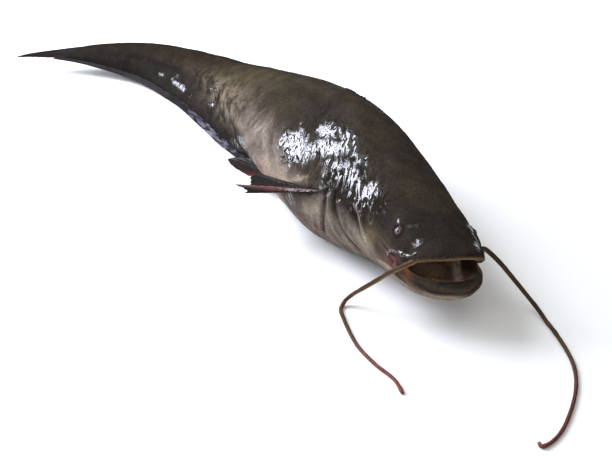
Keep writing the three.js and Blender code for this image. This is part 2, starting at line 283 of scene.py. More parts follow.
class BodyShape:
    """The cross sections of head, trunk and tail."""

    TAIL_ROOT = 925
    # along, half width, crown, keel, height of the widest place, squareness above and below it
    ROWS = (
        (0, 4, 31, 26, 29, 2.2, 2.2),
        (36, 49, 30.5, -6, 0, 2.1, 3),
        (50, 52, 31.5, -14, 0, 2.15, 2.8),
        (100, 58, 38.5, -52, 0, 2.3, 2.7),
        (150, 66, 51, -71, 0, 2.3, 2.7),
        (200, 73, 63.5, -85, 0, 2.3, 2.8),
        (250, 78, 74.5, -92, 0, 2.3, 2.7),
        (300, 79, 79, -88, 0, 2.3, 2.5),
        (350, 75, 77, -80, 0, 2.3, 2.3),
        (400, 68, 70.5, -73, 0, 2.3, 2.2),
        (450, 60, 66, -64, 0, 2.2, 2.1),
        (500, 51, 61.5, -53, 0, 2.1, 2),
        (600, 36, 48.5, -35, 0, 2, 1.9),
        (700, 24, 33.5, -26, 0, 2, 1.8),
        (800, 15, 23.5, -18.5, 0, 2, 1.8),
        (880, 8.2, 15.8, -13, 0, 2, 1.8),
        (TAIL_ROOT, 5, 12.3, -10, 0, 2, 2),
    )
    JAW_END = 140
    JAW_INSET = 7  # how much less its half width is than the head's
    # along, height of the jaw's underside
    JAW_ROWS = ((-5, -25), (10, -34), (40, -45), (80, -55), (JAW_END, -68))
    CROWDING = 1.6  # how much closer together the slices are towards the snout

    def __init__(self) -> None:
        """Lays the curves through the rows."""
        columns = list(zip(*self.ROWS))
        self.wide, self.crown, self.keel, self.beam, self.over, self.under = (
            SmoothCurve(columns[0], column) for column in columns[1:]
        )
        self.jaw_keel = SmoothCurve(*zip(*self.JAW_ROWS))
        self.upper = UpperLip()
        self.lower = LowerLip()

    def half_width(self, at: Points) -> Points:
        """Half the width of head and trunk: the upper lip's arc first, then the slices."""
        lip = np.maximum(2, arc_width(self.upper.half, self.upper.back, at))
        return np.where(at < self.upper.back, lip, self.wide(at))

    def flank(self, at: Points, angle: Points, grow: float | Points = 0) -> Points:
        """Points of the body's skin.

        Args:
            at: how far along each point is.
            angle: its angle from the back, 90 degrees being the right side, in radians.
            grow: how far outside the skin it is.

        Returns:
            Rows of along, side and up.
        """
        above = np.cos(angle)
        square = np.where(above > 0, self.over(at), self.under(at))
        beam = self.beam(at)
        height = np.where(above > 0, self.crown(at) - beam, beam - self.keel(at))
        side = (self.half_width(at) + grow) * power(np.sin(angle), 2 / square)
        return np.stack([at, side, beam + (height + grow) * power(above, 2 / square)], axis=-1)

    def spot(self, at: float, degrees: float, grow: float = 0) -> Points:
        """One point of the skin, from an angle in degrees."""
        return self.flank(np.array([at]), np.radians([degrees]), grow)[0]

    def angle_of(self, places: Points) -> Points:
        """The angle from the back of any straight place.

        Args:
            places: straight places.

        Returns:
            The angles in radians, negative on the left.
        """
        at = places[:, 0]
        beam = self.beam(at)
        rise = places[:, 2] - beam
        height = np.where(rise > 0, self.crown(at) - beam, beam - self.keel(at))
        square = np.where(rise > 0, self.over(at), self.under(at))
        across = power(places[:, 1] / self.half_width(at), square / 2)
        return np.arctan2(across, power(rise / np.maximum(height, 1), square / 2))

    def rim_height(self, at: Points) -> Points:
        """The height of the lower lip's rim.

        Args:
            at: how far along each place is.

        Returns:
            The rim's height at each place.
        """
        lip = self.lower
        t = (np.minimum(at, lip.back) - lip.front) / (lip.back - lip.front)
        return lip.rim + (lip.corner - lip.rim) * t

    def below_rim(self, places: Points) -> Points:
        """How far straight places are below the lower lip's rim."""
        return self.rim_height(places[:, 0]) - places[:, 2]

    def upper_lip_line(self, count: int = 90) -> Points:
        """Points along the upper lip's edge.

        Args:
            count: how many points to return.

        Returns:
            Rows of along, side and up, from corner to corner.
        """
        side = np.sin(np.linspace(-math.pi / 2, math.pi / 2, count))
        at = self.upper.back * (1 - np.sqrt(1 - side**2))
        return np.stack([at, self.upper.half * side, self.keel(at)], axis=1)

    def lower_lip_line(self, count: int = 90) -> Points:
        """Points along the lower lip's rim.

        Args:
            count: how many points to return.

        Returns:
            Rows of along, side and up, from corner to corner.
        """
        lip = self.lower
        side = np.sin(np.linspace(-math.pi / 2, math.pi / 2, count))
        at = lip.front + (lip.back - lip.front) * (1 - np.sqrt(1 - side**2))
        return np.stack([at, lip.half * side, self.rim_height(at)], axis=1)


@dataclass(frozen=True)
class Gape:
    """The inside of the mouth, open at the front between the lips."""

    lip: UpperLip = UpperLip()
    ahead: float = -20
    front: float = 4
    end: float = 130
    wall: float = 6  # the thickness of the lip beside it
    roof: float = 23.5
    floor: float = -2
    arch: float = 11  # how far the roof comes down towards the throat
    scoop: float = 27  # how far the floor goes down towards the throat
    deep: float = 60  # how far behind the front they have got there
    taper_start: float = 50
    belt: float = 0.35  # where its widest place is, from floor to roof
    fullness: float = 0.8  # 1 for round sides, less for fuller ones
    left: float = 0.9  # how wide the left half is beside the right

    def section(self, at: Points) -> tuple[Points, Points, Points]:
        """The half width, the floor's height and the roof's height of the mouth.

        Args:
            at: how far along each slice is.

        Returns:
            The three measures of each slice.
        """
        behind = np.maximum(0, at - self.front) + 10
        open_half = arc_width(self.lip.half - self.wall, self.lip.back + 8, behind)
        half = open_half * (1 - 0.5 * smoothstep(self.taper_start, self.end, at))
        deep = np.clip((at - self.front) / self.deep, 0, 1)
        return half, self.floor - self.scoop * np.sqrt(deep), self.roof - self.arch * deep

    def points(self, t: Points, angle: Points) -> Points:
        """Points of the mouth's wall.

        Args:
            t: places along the mouth, 0 to 1.
            angle: angles from its roof.

        Returns:
            Rows of along, side and up.
        """
        at = self.ahead + (self.end - self.ahead) * t
        half, floor, roof = self.section(at)
        middle = floor + (roof - floor) * self.belt
        above = np.cos(angle)
        up = np.where(above > 0, roof - middle, middle - floor) * above
        side = half * power(np.sin(angle), self.fullness)
        return np.stack([at, np.where(side > 0, side, side * self.left), middle + up], axis=1)

    def nearness(self, places: Points) -> Points:
        """How far inside the mouth straight places are.

        Args:
            places: straight places.

        Returns:
            1 for places on or inside the mouth's wall, falling to 0 just outside it.
        """
        at = places[:, 0]
        half, floor, roof = self.section(at)
        middle = floor + (roof - floor) * self.belt
        rise = places[:, 2] - middle
        height = np.where(rise > 0, roof - middle, middle - floor)
        across = np.abs(places[:, 1] / np.maximum(half, 1)) ** (1 / self.fullness)
        reach = np.hypot(across, rise / height)
        inside = 1 - smoothstep(1.03, 1.12, reach)
        return inside * smoothstep(self.front - 4, self.front + 2, at) * (at < self.end + 4)


# ---- Meshes ----


def tube(along: int, around: int, shape: Callable[[Points, Points], Points]) -> bmesh.types.BMesh:
    """A closed tube: a grid rolled up, its seam merged and its ends filled.

    Args:
        along: the number of faces along it.
        around: the number of faces round it.
        shape: gives the points for each place along it, from 0 to 1, and angle round it.

    Returns:
        The new mesh, with its faces pointing outwards.
    """
    bm = bmesh.new()
    bmesh.ops.create_grid(bm, x_segments=along, y_segments=around, size=0.5)
    flat = np.array([vert.co for vert in bm.verts])
    flat = (flat - flat.min(axis=0)) / np.maximum(np.ptp(flat, axis=0), 1e-9)
    points = shape(flat[:, 0], 2 * math.pi * flat[:, 1])
    for vert, point in zip(bm.verts, points):
        vert.co = point
    bmesh.ops.remove_doubles(bm, verts=bm.verts, dist=1e-3)
    rims = [edge for edge in bm.edges if edge.is_boundary]
    bmesh.ops.holes_fill(bm, edges=rims, sides=0)
    bmesh.ops.recalc_face_normals(bm, faces=bm.faces)
    return bm


def as_mesh(bm: bmesh.types.BMesh, name: str) -> Mesh:
    """Frees a bmesh into a named mesh.

    Args:
        bm: the bmesh.
        name: the new mesh's name.

    Returns:
        The new mesh.
    """
    mesh = bpy.data.meshes.new(name)
    bm.to_mesh(mesh)
    bm.free()
    return mesh


def read_rows(rows: Sequence, name: str) -> Points:
    """Reads a vector from each of a mesh's rows.

    Args:
        rows: the mesh's vertices or normals.
        name: the vector's name.

    Returns:
        One row of three for each.
    """
    flat = np.empty(len(rows) * 3, np.float32)
    rows.foreach_get(name, flat)
    return flat.reshape(-1, 3).astype(float)


def places_of(mesh: Mesh) -> Points:
    """The places of a mesh's vertices, one row each."""
    return read_rows(mesh.vertices, "co")


def move_to(mesh: Mesh, places: Points) -> None:
    """Moves a mesh's vertices to new places."""
    mesh.vertices.foreach_set("co", places.astype(np.float32).ravel())
    mesh.update()


def normals_of(mesh: Mesh) -> Points:
    """The normals of a mesh's vertices, one row each."""
    return read_rows(mesh.vertex_normals, "vector")


def paint(mesh: Mesh, name: str, values: Points) -> None:
    """Stores a number or a vector for each vertex, for the materials to read.

    Args:
        mesh: the mesh to paint.
        name: the attribute's name.
        values: one number or one row of three for each vertex.
    """
    if values.ndim == 2:
        layer = mesh.attributes.new(name, "FLOAT_VECTOR", "POINT")
        layer.data.foreach_set("vector", values.astype(np.float32).ravel())
    else:
        layer = mesh.attributes.new(name, "FLOAT", "POINT")
        layer.data.foreach_set("value", values.astype(np.float32))


def bent(mesh: Mesh, posture: Posture, clear: float = 0) -> None:
    """Bends a straight mesh on to the surface, and keeps its straight places as an attribute.

    Args:
        mesh: a mesh in straight millimetres.
        posture: how the fish lies.
        clear: the least height above the surface.
    """
    places = places_of(mesh)
    paint(mesh, "straight", places * MM)
    settle(mesh, posture.posed(places), clear)


def settle(mesh: Mesh, places: Points, clear: float) -> None:
    """Puts a mesh's vertices at posed places, pressed softly flat where they meet the surface.

    Args:
        mesh: the mesh to place.
        places: posed places in millimetres.
        clear: the least height above the surface.
    """
    soft = 1.2
    above = places[:, 2] - clear
    placed = places.copy()
    placed[:, 2] = clear + (above + np.sqrt(above * above + soft * soft)) / 2
    move_to(mesh, placed * MM)


def show(
    mesh: Mesh, node: str, material: Material
) -> Object:
    """Makes a finished mesh a piece of the fish.

    Args:
        mesh: the mesh, in place and in metres.
        node: the solid that the piece stands for.
        material: its finish.

    Returns:
        The new object.
    """
    piece = bpy.data.objects.new(mesh.name, mesh)
    bpy.context.scene.collection.objects.link(piece)
    mesh.materials.append(material)
    mesh.polygons.foreach_set("use_smooth", [True] * len(mesh.polygons))
    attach(piece, "root")
    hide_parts(node)
    return piece


def mouth_highlight_band(places: Points) -> Points:
    """A painted highlight: the pale band that runs aft on floor and roof of the mouth, left of its
    middle.

    Args:
        places: straight places.

    Returns:
        0 beside the band to about 1 on it.
    """
    start, offset, slant = 30, 16.5, 0.48
    across = places[:, 1] + offset + slant * (places[:, 0] - start)
    narrow, broad = bell(across + 3.2, 1.5), bell(across - 1.5, 3.6)
    return narrow + 0.9 * broad


def distance_to(places: Points, line: Points) -> Points:
    """How far each place is from the nearest point of a line.

    Args:
        places: rows of three.
        line: rows of three, close together.

    Returns:
        One distance for each place.
    """
    nearest = np.full(len(places), np.inf)
    for point in line:
        nearest = np.minimum(nearest, np.linalg.norm(places - point, axis=1))
    return nearest


# ---- Skin ----


@dataclass(frozen=True)
class Chart:
    """Where straight places lie on the skin.

    The angles are from the back, in degrees, and the same on both sides. The wrapped places are in
    millimetres, and their first part stays the same along the skin's streaks.
    """

    places: Points = field(repr=False)
    at: Points = field(repr=False)
    degrees: Points = field(repr=False)
    wrap: Points = field(repr=False)

    # how the streaks slant, along the fish
    SLANT = SmoothCurve((0, 120, 240, 330, 420, 925), (0.2, 0.55, 0.45, -0.3, -0.9, -0.9))
    SLANT_MIDDLE = 110
    RADIUS_RANGE = (12, 90)

    @classmethod
    def of(cls, shape: BodyShape, places: Points) -> "Chart":
        """Looks up straight places.

        Args:
            shape: the body's cross sections.
            places: straight places.

        Returns:
            Their chart.
        """
        at, angle = places[:, 0], np.abs(shape.angle_of(places))
        radius = (shape.half_width(at) + shape.crown(at) - shape.keel(at)) / 3
        arc = angle * np.clip(radius, *cls.RADIUS_RANGE)
        slanted = at + cls.SLANT(at) * (arc - cls.SLANT_MIDDLE)
        wrap = np.stack([slanted, arc, places[:, 1] / 3], axis=1)
        return cls(places, at, np.degrees(angle), wrap)

    @property
    def side(self) -> Points:
        """How far to the right each place is."""
        return self.places[:, 1]

    @property
    def up(self) -> Points:
        """How high each place is."""
        return self.places[:, 2]

    def film(self) -> Points:
        """Wrapped places for the water film, twice as fine on the head."""
        return self.wrap * (1 + smoothstep(112, 96, self.at))[:, None]

    def tightness(self) -> Points:
        """How strongly the skin is puckered: most on the flank behind the head."""
        flank = window(self.at, 84, 118, 300, 360) * window(self.degrees, 36, 50, 98, 112)
        return 0.16 + 0.84 * flank


@dataclass(frozen=True)
class Fold:
    """A crease or a ridge in the skin, along a line of places and angles in degrees.

    A crease has a negative height. Shade (painted shade), glow (paleness and painted highlight) and
    wet are 0 to 1.
    """

    line: tuple[tuple[float, float], ...]
    height: float
    width: float
    shade: float = 0
    glow: float = 0
    wet: float = 0

    def points(self, shape: BodyShape, side: Side) -> Points:
        """Points every few millimetres along the fold.

        Args:
            shape: the body's cross sections.
            side: the side of the fish that it is on.

        Returns:
            Rows of along, side and up.
        """
        rows = np.array(self.line, float)
        t = np.linspace(0, len(rows) - 1, 8 * len(rows))
        at, degrees = (np.interp(t, np.arange(len(rows)), rows[:, k]) for k in range(2))
        return shape.flank(at, np.radians(degrees) * side.value)


FOLDS = (
    # the gill slit and furrow behind it with painted shade, the ridge between with a painted
    # highlight
    Fold(((184, 93), (174, 106), (166, 112), (158, 119), (147, 126), (132, 138)), -2.2, 2.4, shade=1),
    Fold(((199, 93), (195, 104), (194, 112), (193, 122), (194, 136)), -2.6, 3.2, shade=1),
    Fold(((191, 97), (184, 108), (178, 116), (170, 127), (160, 138)), 1.6, 3.0, glow=0.55),
    # the pale edge of the gill cover with a painted highlight, and the furrow along it with painted
    # shade
    Fold(((142, 91), (134, 95), (126, 100), (120, 107), (112, 114)), 1.1, 1.8, glow=0.9),
    Fold(((148, 93), (139, 97), (131, 103), (125, 110), (117, 118)), -1.0, 2.6, shade=0.6),
    # shallow furrows of the throat, with painted shade
    Fold(((160, 104), (150, 112), (138, 120), (122, 130)), -0.9, 3.0, shade=0.35),
    Fold(((206, 112), (206, 124), (209, 137), (214, 150)), -0.9, 3.2, shade=0.3),
    Fold(((96, 112), (84, 126), (74, 142)), -0.8, 2.6, shade=0.2),
    # soft swellings of the throat and under the pectoral fin
    Fold(((118, 116), (122, 124), (116, 136)), 0.4, 7.0, glow=0.6),
    Fold(((203, 113), (214, 118), (226, 121)), 0.6, 7.0, glow=0.8),
    # the ridge behind the pectoral fin with a painted highlight, and the furrow with painted shade
    Fold(((236, 98), (264, 110), (290, 124), (311, 136)), 2.0, 3.4, glow=0.9),
    Fold(((226, 103), (252, 113), (280, 128)), -2.6, 5.5, shade=1),
    # patches with no height: pale and painted light on belly and throat, painted shade on the throat
    Fold(((284, 114), (304, 118), (332, 124)), 0, 13, glow=0.6),
    Fold(((124, 124), (130, 127)), 0, 9, glow=0.6),
    Fold(((100, 150), (92, 160), (88, 166)), 0, 9, glow=0.8),
    Fold(((153, 108), (142, 100)), 0, 8, shade=0.45),
    # the furrows above the gill and round the pectoral fin's root, with painted shade
    Fold(((110, 95), (150, 96), (190, 93), (222, 98)), -0.8, 3.0, shade=0.5),
    Fold(((196, 97), (210, 99), (226, 103)), -1.2, 6.0, shade=1),
    Fold(((186, 98), (178, 104), (172, 108)), -0.8, 6.0, shade=0.8),
    # wet ridges: above the gill, round the mouth's corner, over the lip and on the tail
    Fold(((214, 83), (207, 89), (204, 94)), 1.3, 4.0, wet=1),
    Fold(((76, 121), (66, 104), (58, 96), (49, 89), (43, 83)), 1.2, 1.7, wet=0.8),
    Fold(((44, 88), (36, 78), (26, 67)), 1.2, 1.7, wet=0.8),
    Fold(((566, 88), (576, 93)), 2.2, 6.6, wet=1),
    Fold(((588, 98), (594, 101)), 2.0, 6.0, wet=1),
    Fold(((576, 133), (590, 138)), 3.4, 6.4, wet=1),
    Fold(((712, 142), (692, 144), (668, 143)), 1.5, 4.6, wet=1),
)


@dataclass(frozen=True)
class Puddle:
    """Water that stands on the skin, as an oval of places and degrees.

    A puddle is on both sides of the fish, or on the left side alone where its angle is negative.
    """

    at: float
    degrees: float
    long: float
    broad: float
    slope: float = 0  # how many degrees its long way turns for each millimetre along
    strength: float = 1


PUDDLES = (
    # the shoulder
    Puddle(283, 92, 24, 11, slope=0.1),
    Puddle(234, 77, 33, 9, slope=0.44),
    Puddle(243, 60, 16, 9, slope=0.3),
    Puddle(208, 54, 20, 11, slope=-0.3),
    Puddle(184, 78, 28, 13.5, slope=0.2),
    Puddle(146, 80, 25, 14),
    Puddle(134, 61, 11, 10, strength=0.9),
    Puddle(178, 51, 9, 7),
    Puddle(203, 91, 12, 7),
    # the tail, and along the anal fin's foot
    Puddle(692, 145, 22, 3, strength=0.9),
    Puddle(746, 147, 6, 2.4, strength=0.8),
    Puddle(652, 146, 5, 2.6, strength=0.8),
    Puddle(424, 133, 26, 9, slope=0.3, strength=0.7),
    Puddle(470, 160, 30, 9, strength=0.8),
    # round the eye
    Puddle(62, 46, 3, 3, strength=0.9),
    Puddle(58, 36, 2.5, 3, strength=0.8),
    Puddle(76, 55, 3, 4, strength=0.9),
    Puddle(36, 47, 6, 9, strength=0.6),
    # under the pectoral fin
    Puddle(258, 126, 14, 6, strength=0.7),
    # the left edge of the snout
    Puddle(50, -43, 16, 4),
    Puddle(22, -40, 9, 6),
)


@dataclass(frozen=True)
class Water:
    """The clear film of water and mucus over the skin."""

    puddles: tuple[Puddle, ...] = PUDDLES
    damp: float = 0.006  # the least wetness
    ragged: float = 1.1  # how ragged the puddles' rims are
    ragged_size: Triple = (8, 5, 1)  # in millimetres along and degrees round
    ragged_seed: float = 7
    gap: Triple = (195, 67, 8)  # the place, angle and size of a drier spot
    gap_strength: float = 0.85

    def wetness(self, chart: Chart) -> Points:
        """Where water stands on the skin.

        Args:
            chart: the places to look up.

        Returns:
            0 for damp to 1 for wet.
        """
        flat = np.stack([chart.at, chart.degrees, 0 * chart.at], axis=1)
        ragged = 1 + self.ragged * noise_at(flat, self.ragged_size, (0, 0, self.ragged_seed))
        wet = np.zeros(len(flat))
        for puddle in self.puddles:
            left = (chart.places[:, 1] < 0) & (puddle.degrees < 0)
            turn = np.where(left, -chart.degrees, chart.degrees)
            ahead = chart.at - puddle.at
            across = (turn - puddle.degrees - puddle.slope * ahead) / puddle.broad
            reach = ((ahead / puddle.long) ** 2 + across**2) * ragged
            wet = np.maximum(wet, puddle.strength * np.exp(-(np.maximum(reach, 0) ** 3)))
        at, degrees, size = self.gap
        dry = self.gap_strength * bell(np.hypot(chart.at - at, chart.degrees - degrees), size)
        return self.damp + (1 - self.damp) * wet * (1 - dry)


@dataclass(frozen=True)
class Wrinkles:
    """Fine curving wrinkles in the skin, about a centimetre apart."""

    curl: float = 9  # how far they wander
    curl_size: Triple = (17, 17, 21)
    broad: float = 1.1  # the height of the broad ones
    broad_size: Triple = (10, 11, 13)
    fine: float = 0.7  # the height of the fine ones
    fine_size: Triple = (3.8, 5.6, 13)

    def heights(self, wrap: Points) -> Points:
        """The height of the wrinkles at full strength.

        Args:
            wrap: wrapped places.

        Returns:
            Their height in millimetres.
        """
        curl = self.curl * noise_at(wrap, self.curl_size, (0, 0, 5))
        sway = self.curl * noise_at(wrap, self.curl_size, (0, 0, 11))
        moved = wrap + np.stack([curl, sway, 0 * curl], axis=1)
        broad = noise_at(moved, self.broad_size)
        fine = noise_at(moved, self.fine_size, (0, 0, 3))
        return self.broad * broad + self.fine * fine


@dataclass
class SkinMarks:
    """Paints on the skin where it is pale, flushed, wet, lip or mouth, and where painted shade lies.
    """

    mesh: Mesh
    shape: BodyShape
    chart: Chart
    film: Points  # how wet the skin is
    inside: Points  # 1 inside the mouth

    # the angle where the pale underside starts, how softly it starts, and how pale it gets
    PALE_EDGE = SmoothCurve(
        (0, 50, 80, 110, 150, 200, 250, 300, 340, 380, 430, 500, 560, 640, 925),
        (132, 128, 118, 106, 98, 96, 100, 98, 92, 90, 92, 98, 106, 120, 130),
    )
    PALE_SPREAD = SmoothCurve((0, 90, 130, 230, 300, 400, 600, 925), (10, 12, 5, 5, 16, 22, 26, 30))
    PALE_DEPTH = SmoothCurve(
        (0, 80, 110, 180, 250, 300, 335, 390, 430, 500, 600, 925),
        (0.2, 0.5, 1, 0.66, 0.72, 0.9, 1, 0.78, 0.5, 0.3, 0.1, 0.03),
    )
    # place, angle, size and strength of each red flush
    FLUSHES = (
        (70, 136, 10, 0.9), (60, 124, 9, 0.9), (67, 148, 8, 0.8), (207, 136, 5, 0.8),
        (316, 131, 15, 0.45), (354, 140, 14, 0.6), (206, 99, 5, 0.3), (290, 112, 9, 0.3),
    )
    BRUISE = (-2.0, -11, -15)
    BRUISE_SIZE = 2.6
    CORNER = (32, 46, -12)  # the right corner of the mouth, inside the lips
    CORNER_SIZE = 6.5

    def mark(self, name: str, values: Points) -> None:
        """Paints one attribute of the skin."""
        paint(self.mesh, name, values)

    def underside(self) -> None:
        """Marks the pale belly and throat, and the dusky keel."""
        at, degrees = self.chart.at, self.chart.degrees
        edge, spread = self.PALE_EDGE(at), self.PALE_SPREAD(at)
        rise = smoothstep(edge - spread, edge + spread, degrees)
        keel = smoothstep(110, 128, degrees) * smoothstep(380, 430, at)
        self.mark("pale", rise * self.PALE_DEPTH(at) * (1 - 0.8 * keel))
        low = smoothstep(92, 125, degrees) * smoothstep(370, 450, at)
        self.mark("low", np.maximum(low, 0.6 * smoothstep(128, 160, degrees)))

    def patterns(self) -> None:
        """Marks the olive flank, the cheek's patch, the spots of the tail and the streaks."""
        at, degrees = self.chart.at, self.chart.degrees
        self.mark("olive", window(at, 270, 340, 520, 680) * window(degrees, 20, 40, 70, 95))
        self.mark("cheek", 0.9 * bell(at - 102, 16) * bell(degrees - 102, 12))
        self.mark("mottle", bell(at - 525, 105) * bell(degrees - 102, 30))
        self.mark("aft", smoothstep(240, 620, at))
        self.mark("streak", 0.3 + 0.45 * smoothstep(250, 330, at) - 0.4 * smoothstep(370, 440, at))

    def shadows(self) -> None:
        """Marks painted shade on temple, saddle, snout and tail end, and soaked skin, partly painted
        shade.
        """
        at, degrees = self.chart.at, self.chart.degrees
        # painted shade on the temple, saddle, snout and tail end
        temple = window(degrees, 46, 64, 96, 112) * window(at, 66, 92, 180, 215)
        saddle = 0.6 * window(degrees, 34, 52, 72, 92) * window(at, 190, 230, 340, 480)
        snout = 0.75 * smoothstep(130, 50, at) * smoothstep(-6, 2, self.chart.up)
        end = 0.9 * smoothstep(700, 880, at)
        # skin under standing water, darker as wet skin and partly as painted shade
        shade_and_soaked = smoothstep(0.1, 0.7, self.film)
        self.mark("dark", np.max([temple, saddle, snout, end, shade_and_soaked], axis=0))

    def water(self, folds: Points) -> None:
        """Marks the water film, and the places that its ripples follow.

        Args:
            folds: how wet the folds are.
        """
        wet = np.maximum(folds, self.film)
        self.mark("wet", wet)
        self.mark("wrinkle", np.maximum(self.chart.tightness(), smoothstep(0.3, 0.8, wet)))
        self.mark("wrap", self.chart.wrap * MM)
        self.mark("film", self.chart.film() * MM)

    def mouth(self) -> None:
        """Marks the mouth's lining, the lips, the lower jaw and the rusty corners."""
        places, at = self.chart.places, self.chart.at
        self.mark("mouth", self.inside)
        # the pale band: a painted highlight on the mouth's floor and roof
        self.mark("ridge", mouth_highlight_band(places) * self.inside)
        upper = distance_to(places, self.shape.upper_lip_line())
        lower = distance_to(places, self.shape.lower_lip_line() + np.array([5, 0, 2]))
        low_lip = 0.5 * (1 - smoothstep(0.8, 2.4, lower)) * smoothstep(56, 44, at)
        self.mark("lip", np.maximum(1 - smoothstep(0.9, 3.8, upper), low_lip))
        drop = self.shape.below_rim(places)
        jaw = smoothstep(112, 84, at) * smoothstep(0, 8, drop)
        chin = smoothstep(-1, 6, drop - 12 - 0.25 * (at - 20)) * smoothstep(-26, 10, self.chart.side)
        self.mark("jaw", jaw)
        self.mark("chin", jaw * np.maximum(chin, smoothstep(-38, -48, self.chart.up)))
        ahead, side, up = self.CORNER
        corners = np.array([[ahead, side * which.value, up] for which in Side], float)
        self.mark("rust", bell(distance_to(places, corners), self.CORNER_SIZE))

    def flushed(self, eye: Points, eye_rim: float) -> None:
        """Marks the red flushes, a bruise on the lip and the ring round each eye.

        Args:
            eye: how far each place is from the nearer eye's middle.
            eye_rim: the radius of the ring.
        """
        places = self.chart.places
        bruise = distance_to(places, np.array([self.BRUISE]))
        flush = 0.8 * bell(bruise, self.BRUISE_SIZE)
        for at, degrees, size, strength in self.FLUSHES:
            for side in Side:
                spot = self.shape.spot(at, side.value * degrees)
                near = distance_to(places, spot[None, :])
                flush = np.maximum(flush, strength * bell(near, size))
        self.mark("flush", np.maximum(flush, 0.15 * bell(eye - eye_rim, 2.0)))


@dataclass
class Trunk:
    """Head, trunk and tail as one skin with the mouth open."""

    posture: Posture
    shape: BodyShape
    gape: Gape
    folds: tuple[Fold, ...] = FOLDS
    water: Water = Water()
    wrinkles: Wrinkles = Wrinkles()
    voxel: float = 2.75
    smoothings: int = 3
    eye_at: float = 68
    eye_degrees: float = 66
    eye_rim: float = 6.4
    # where the anal fin's foot starts and ends
    base_start: float = 436
    base_end: float = 912

    def body_points(self, t: Points, angle: Points) -> Points:
        """The body's skin, closer together towards the snout and pinched at the tail's end.

        Args:
            t: places along the body, 0 to 1.
            angle: angles from the back.

        Returns:
            Rows of along, side and up.
        """
        at = self.shape.TAIL_ROOT * t**self.shape.CROWDING
        pinch = 5 * smoothstep(888, self.shape.TAIL_ROOT, at)
        return self.shape.flank(at, angle, -np.minimum(pinch, self.shape.half_width(at) - 1))

    def jaw_points(self, t: Points, angle: Points) -> Points:
        """The lower jaw, a deep scoop whose rim meets the upper lip at the mouth's corners.

        Args:
            t: places along the jaw, 0 to 1.
            angle: angles from its top.

        Returns:
            Rows of along, side and up.
        """
        shape, lip = self.shape, self.shape.lower
        at = lip.front + (shape.JAW_END - lip.front) * t**shape.CROWDING
        arc = np.maximum(2, arc_width(lip.half, lip.back - lip.front, at - lip.front))
        half = np.where(at < lip.back, arc, shape.wide(at) - shape.JAW_INSET)
        top, bottom = shape.rim_height(at), shape.jaw_keel(at)
        middle = (top * 2 + bottom) / 3
        above = np.cos(angle)
        up = np.where(
            above > 0,
            (top - middle) * np.abs(above) ** 0.7,
            (bottom - middle) * np.abs(above) ** 0.9,
        )
        return np.stack([at, half * power(np.sin(angle), 0.85), middle + up], axis=1)

    def fin_base_points(self, t: Points, angle: Points) -> Points:
        """The flesh at the foot of the anal fin, a wedge that the flank runs into.

        Args:
            t: places along the fin, 0 to 1.
            angle: angles round the wedge, 0 inside the body and pi at its edge.

        Returns:
            Rows of along, side and up.
        """
        steps = 400
        edge = route_points(ANAL_EDGE, steps + 1)
        tip = edge[np.rint(t * steps).astype(int)]
        at = self.base_start + (self.base_end - self.base_start) * t
        foot = np.stack([at, 0 * at, self.shape.keel(at) * 0.5], axis=1)
        out = (1 - np.cos(angle)) / 2
        points = foot + (tip - foot) * (out * 0.8)[:, None]
        half = (self.shape.half_width(at) * 0.87 - 1) * (1 - out) + 1.7
        points[:, 1] += half * smoothstep(0, 0.04, t + 0.01) * power(np.sin(angle), 0.5)
        return points

    def forms(self) -> list[Object]:
        """Makes the closed solids that the skin is joined from.

        Returns:
            The body, the jaw, the anal fin's foot and the mouth's hollow.
        """
        made = []
        for name, along, around, points in (
            ("trunk_form", 150, 72, self.body_points),
            ("jaw_form", 50, 64, self.jaw_points),
            ("fin_base_form", 120, 40, self.fin_base_points),
            ("mouth_form", 60, 56, self.gape.points),
        ):
            form = bpy.data.objects.new(name, as_mesh(tube(along, around, points), name))
            bpy.context.scene.collection.objects.link(form)
            made.append(form)
        return made

    def joined(self) -> Mesh:
        """Joins the forms, cuts the mouth and remeshes the result evenly.

        Returns:
            The skin as one closed mesh.
        """
        body, jaw, base, mouth = forms = self.forms()
        for operation, other in (("UNION", jaw), ("UNION", base), ("DIFFERENCE", mouth)):
            cut = body.modifiers.new(operation.title(), "BOOLEAN")
            cut.operation, cut.object, cut.solver = operation, other, "EXACT"
        even = body.modifiers.new("Even", "REMESH")
        even.mode, even.voxel_size = "VOXEL", self.voxel
        graph = bpy.context.evaluated_depsgraph_get()
        mesh = bpy.data.meshes.new_from_object(body.evaluated_get(graph))
        mesh.name = "skin"
        for form in forms:
            bpy.data.objects.remove(form)
        return mesh

    def straight_mesh(self) -> Mesh:
        """Smooths the joined forms, and divides the faces that carry the finest relief.

        Returns:
            The plain skin, still straight.
        """
        mesh = self.joined()
        bm = bmesh.new()
        bm.from_mesh(mesh)
        for _ in range(self.smoothings):
            bmesh.ops.smooth_vert(
                bm, verts=bm.verts, factor=0.5, use_axis_x=True, use_axis_y=True, use_axis_z=True
            )
        chart = Chart.of(self.shape, np.array([vert.co for vert in bm.verts]))
        at, degrees = chart.at, chart.degrees
        flank = (at > 104) & (at < 318) & (degrees > 40) & (degrees < 106)
        cheek = (at > 20) & (at < 92) & (degrees > 40) & (degrees < 128) & (chart.up > -30)
        fine = flank | cheek
        edges = [edge for edge in bm.edges if all(fine[vert.index] for vert in edge.verts)]
        bmesh.ops.subdivide_edges(bm, edges=edges, cuts=1, use_grid_fill=True)
        bm.to_mesh(mesh)
        bm.free()
        return mesh

    def eye_distance(self, places: Points) -> Points:
        """How far each place is from the nearer eye's middle."""
        spots = [self.shape.spot(self.eye_at, side.value * self.eye_degrees) for side in Side]
        return distance_to(places, np.array(spots))

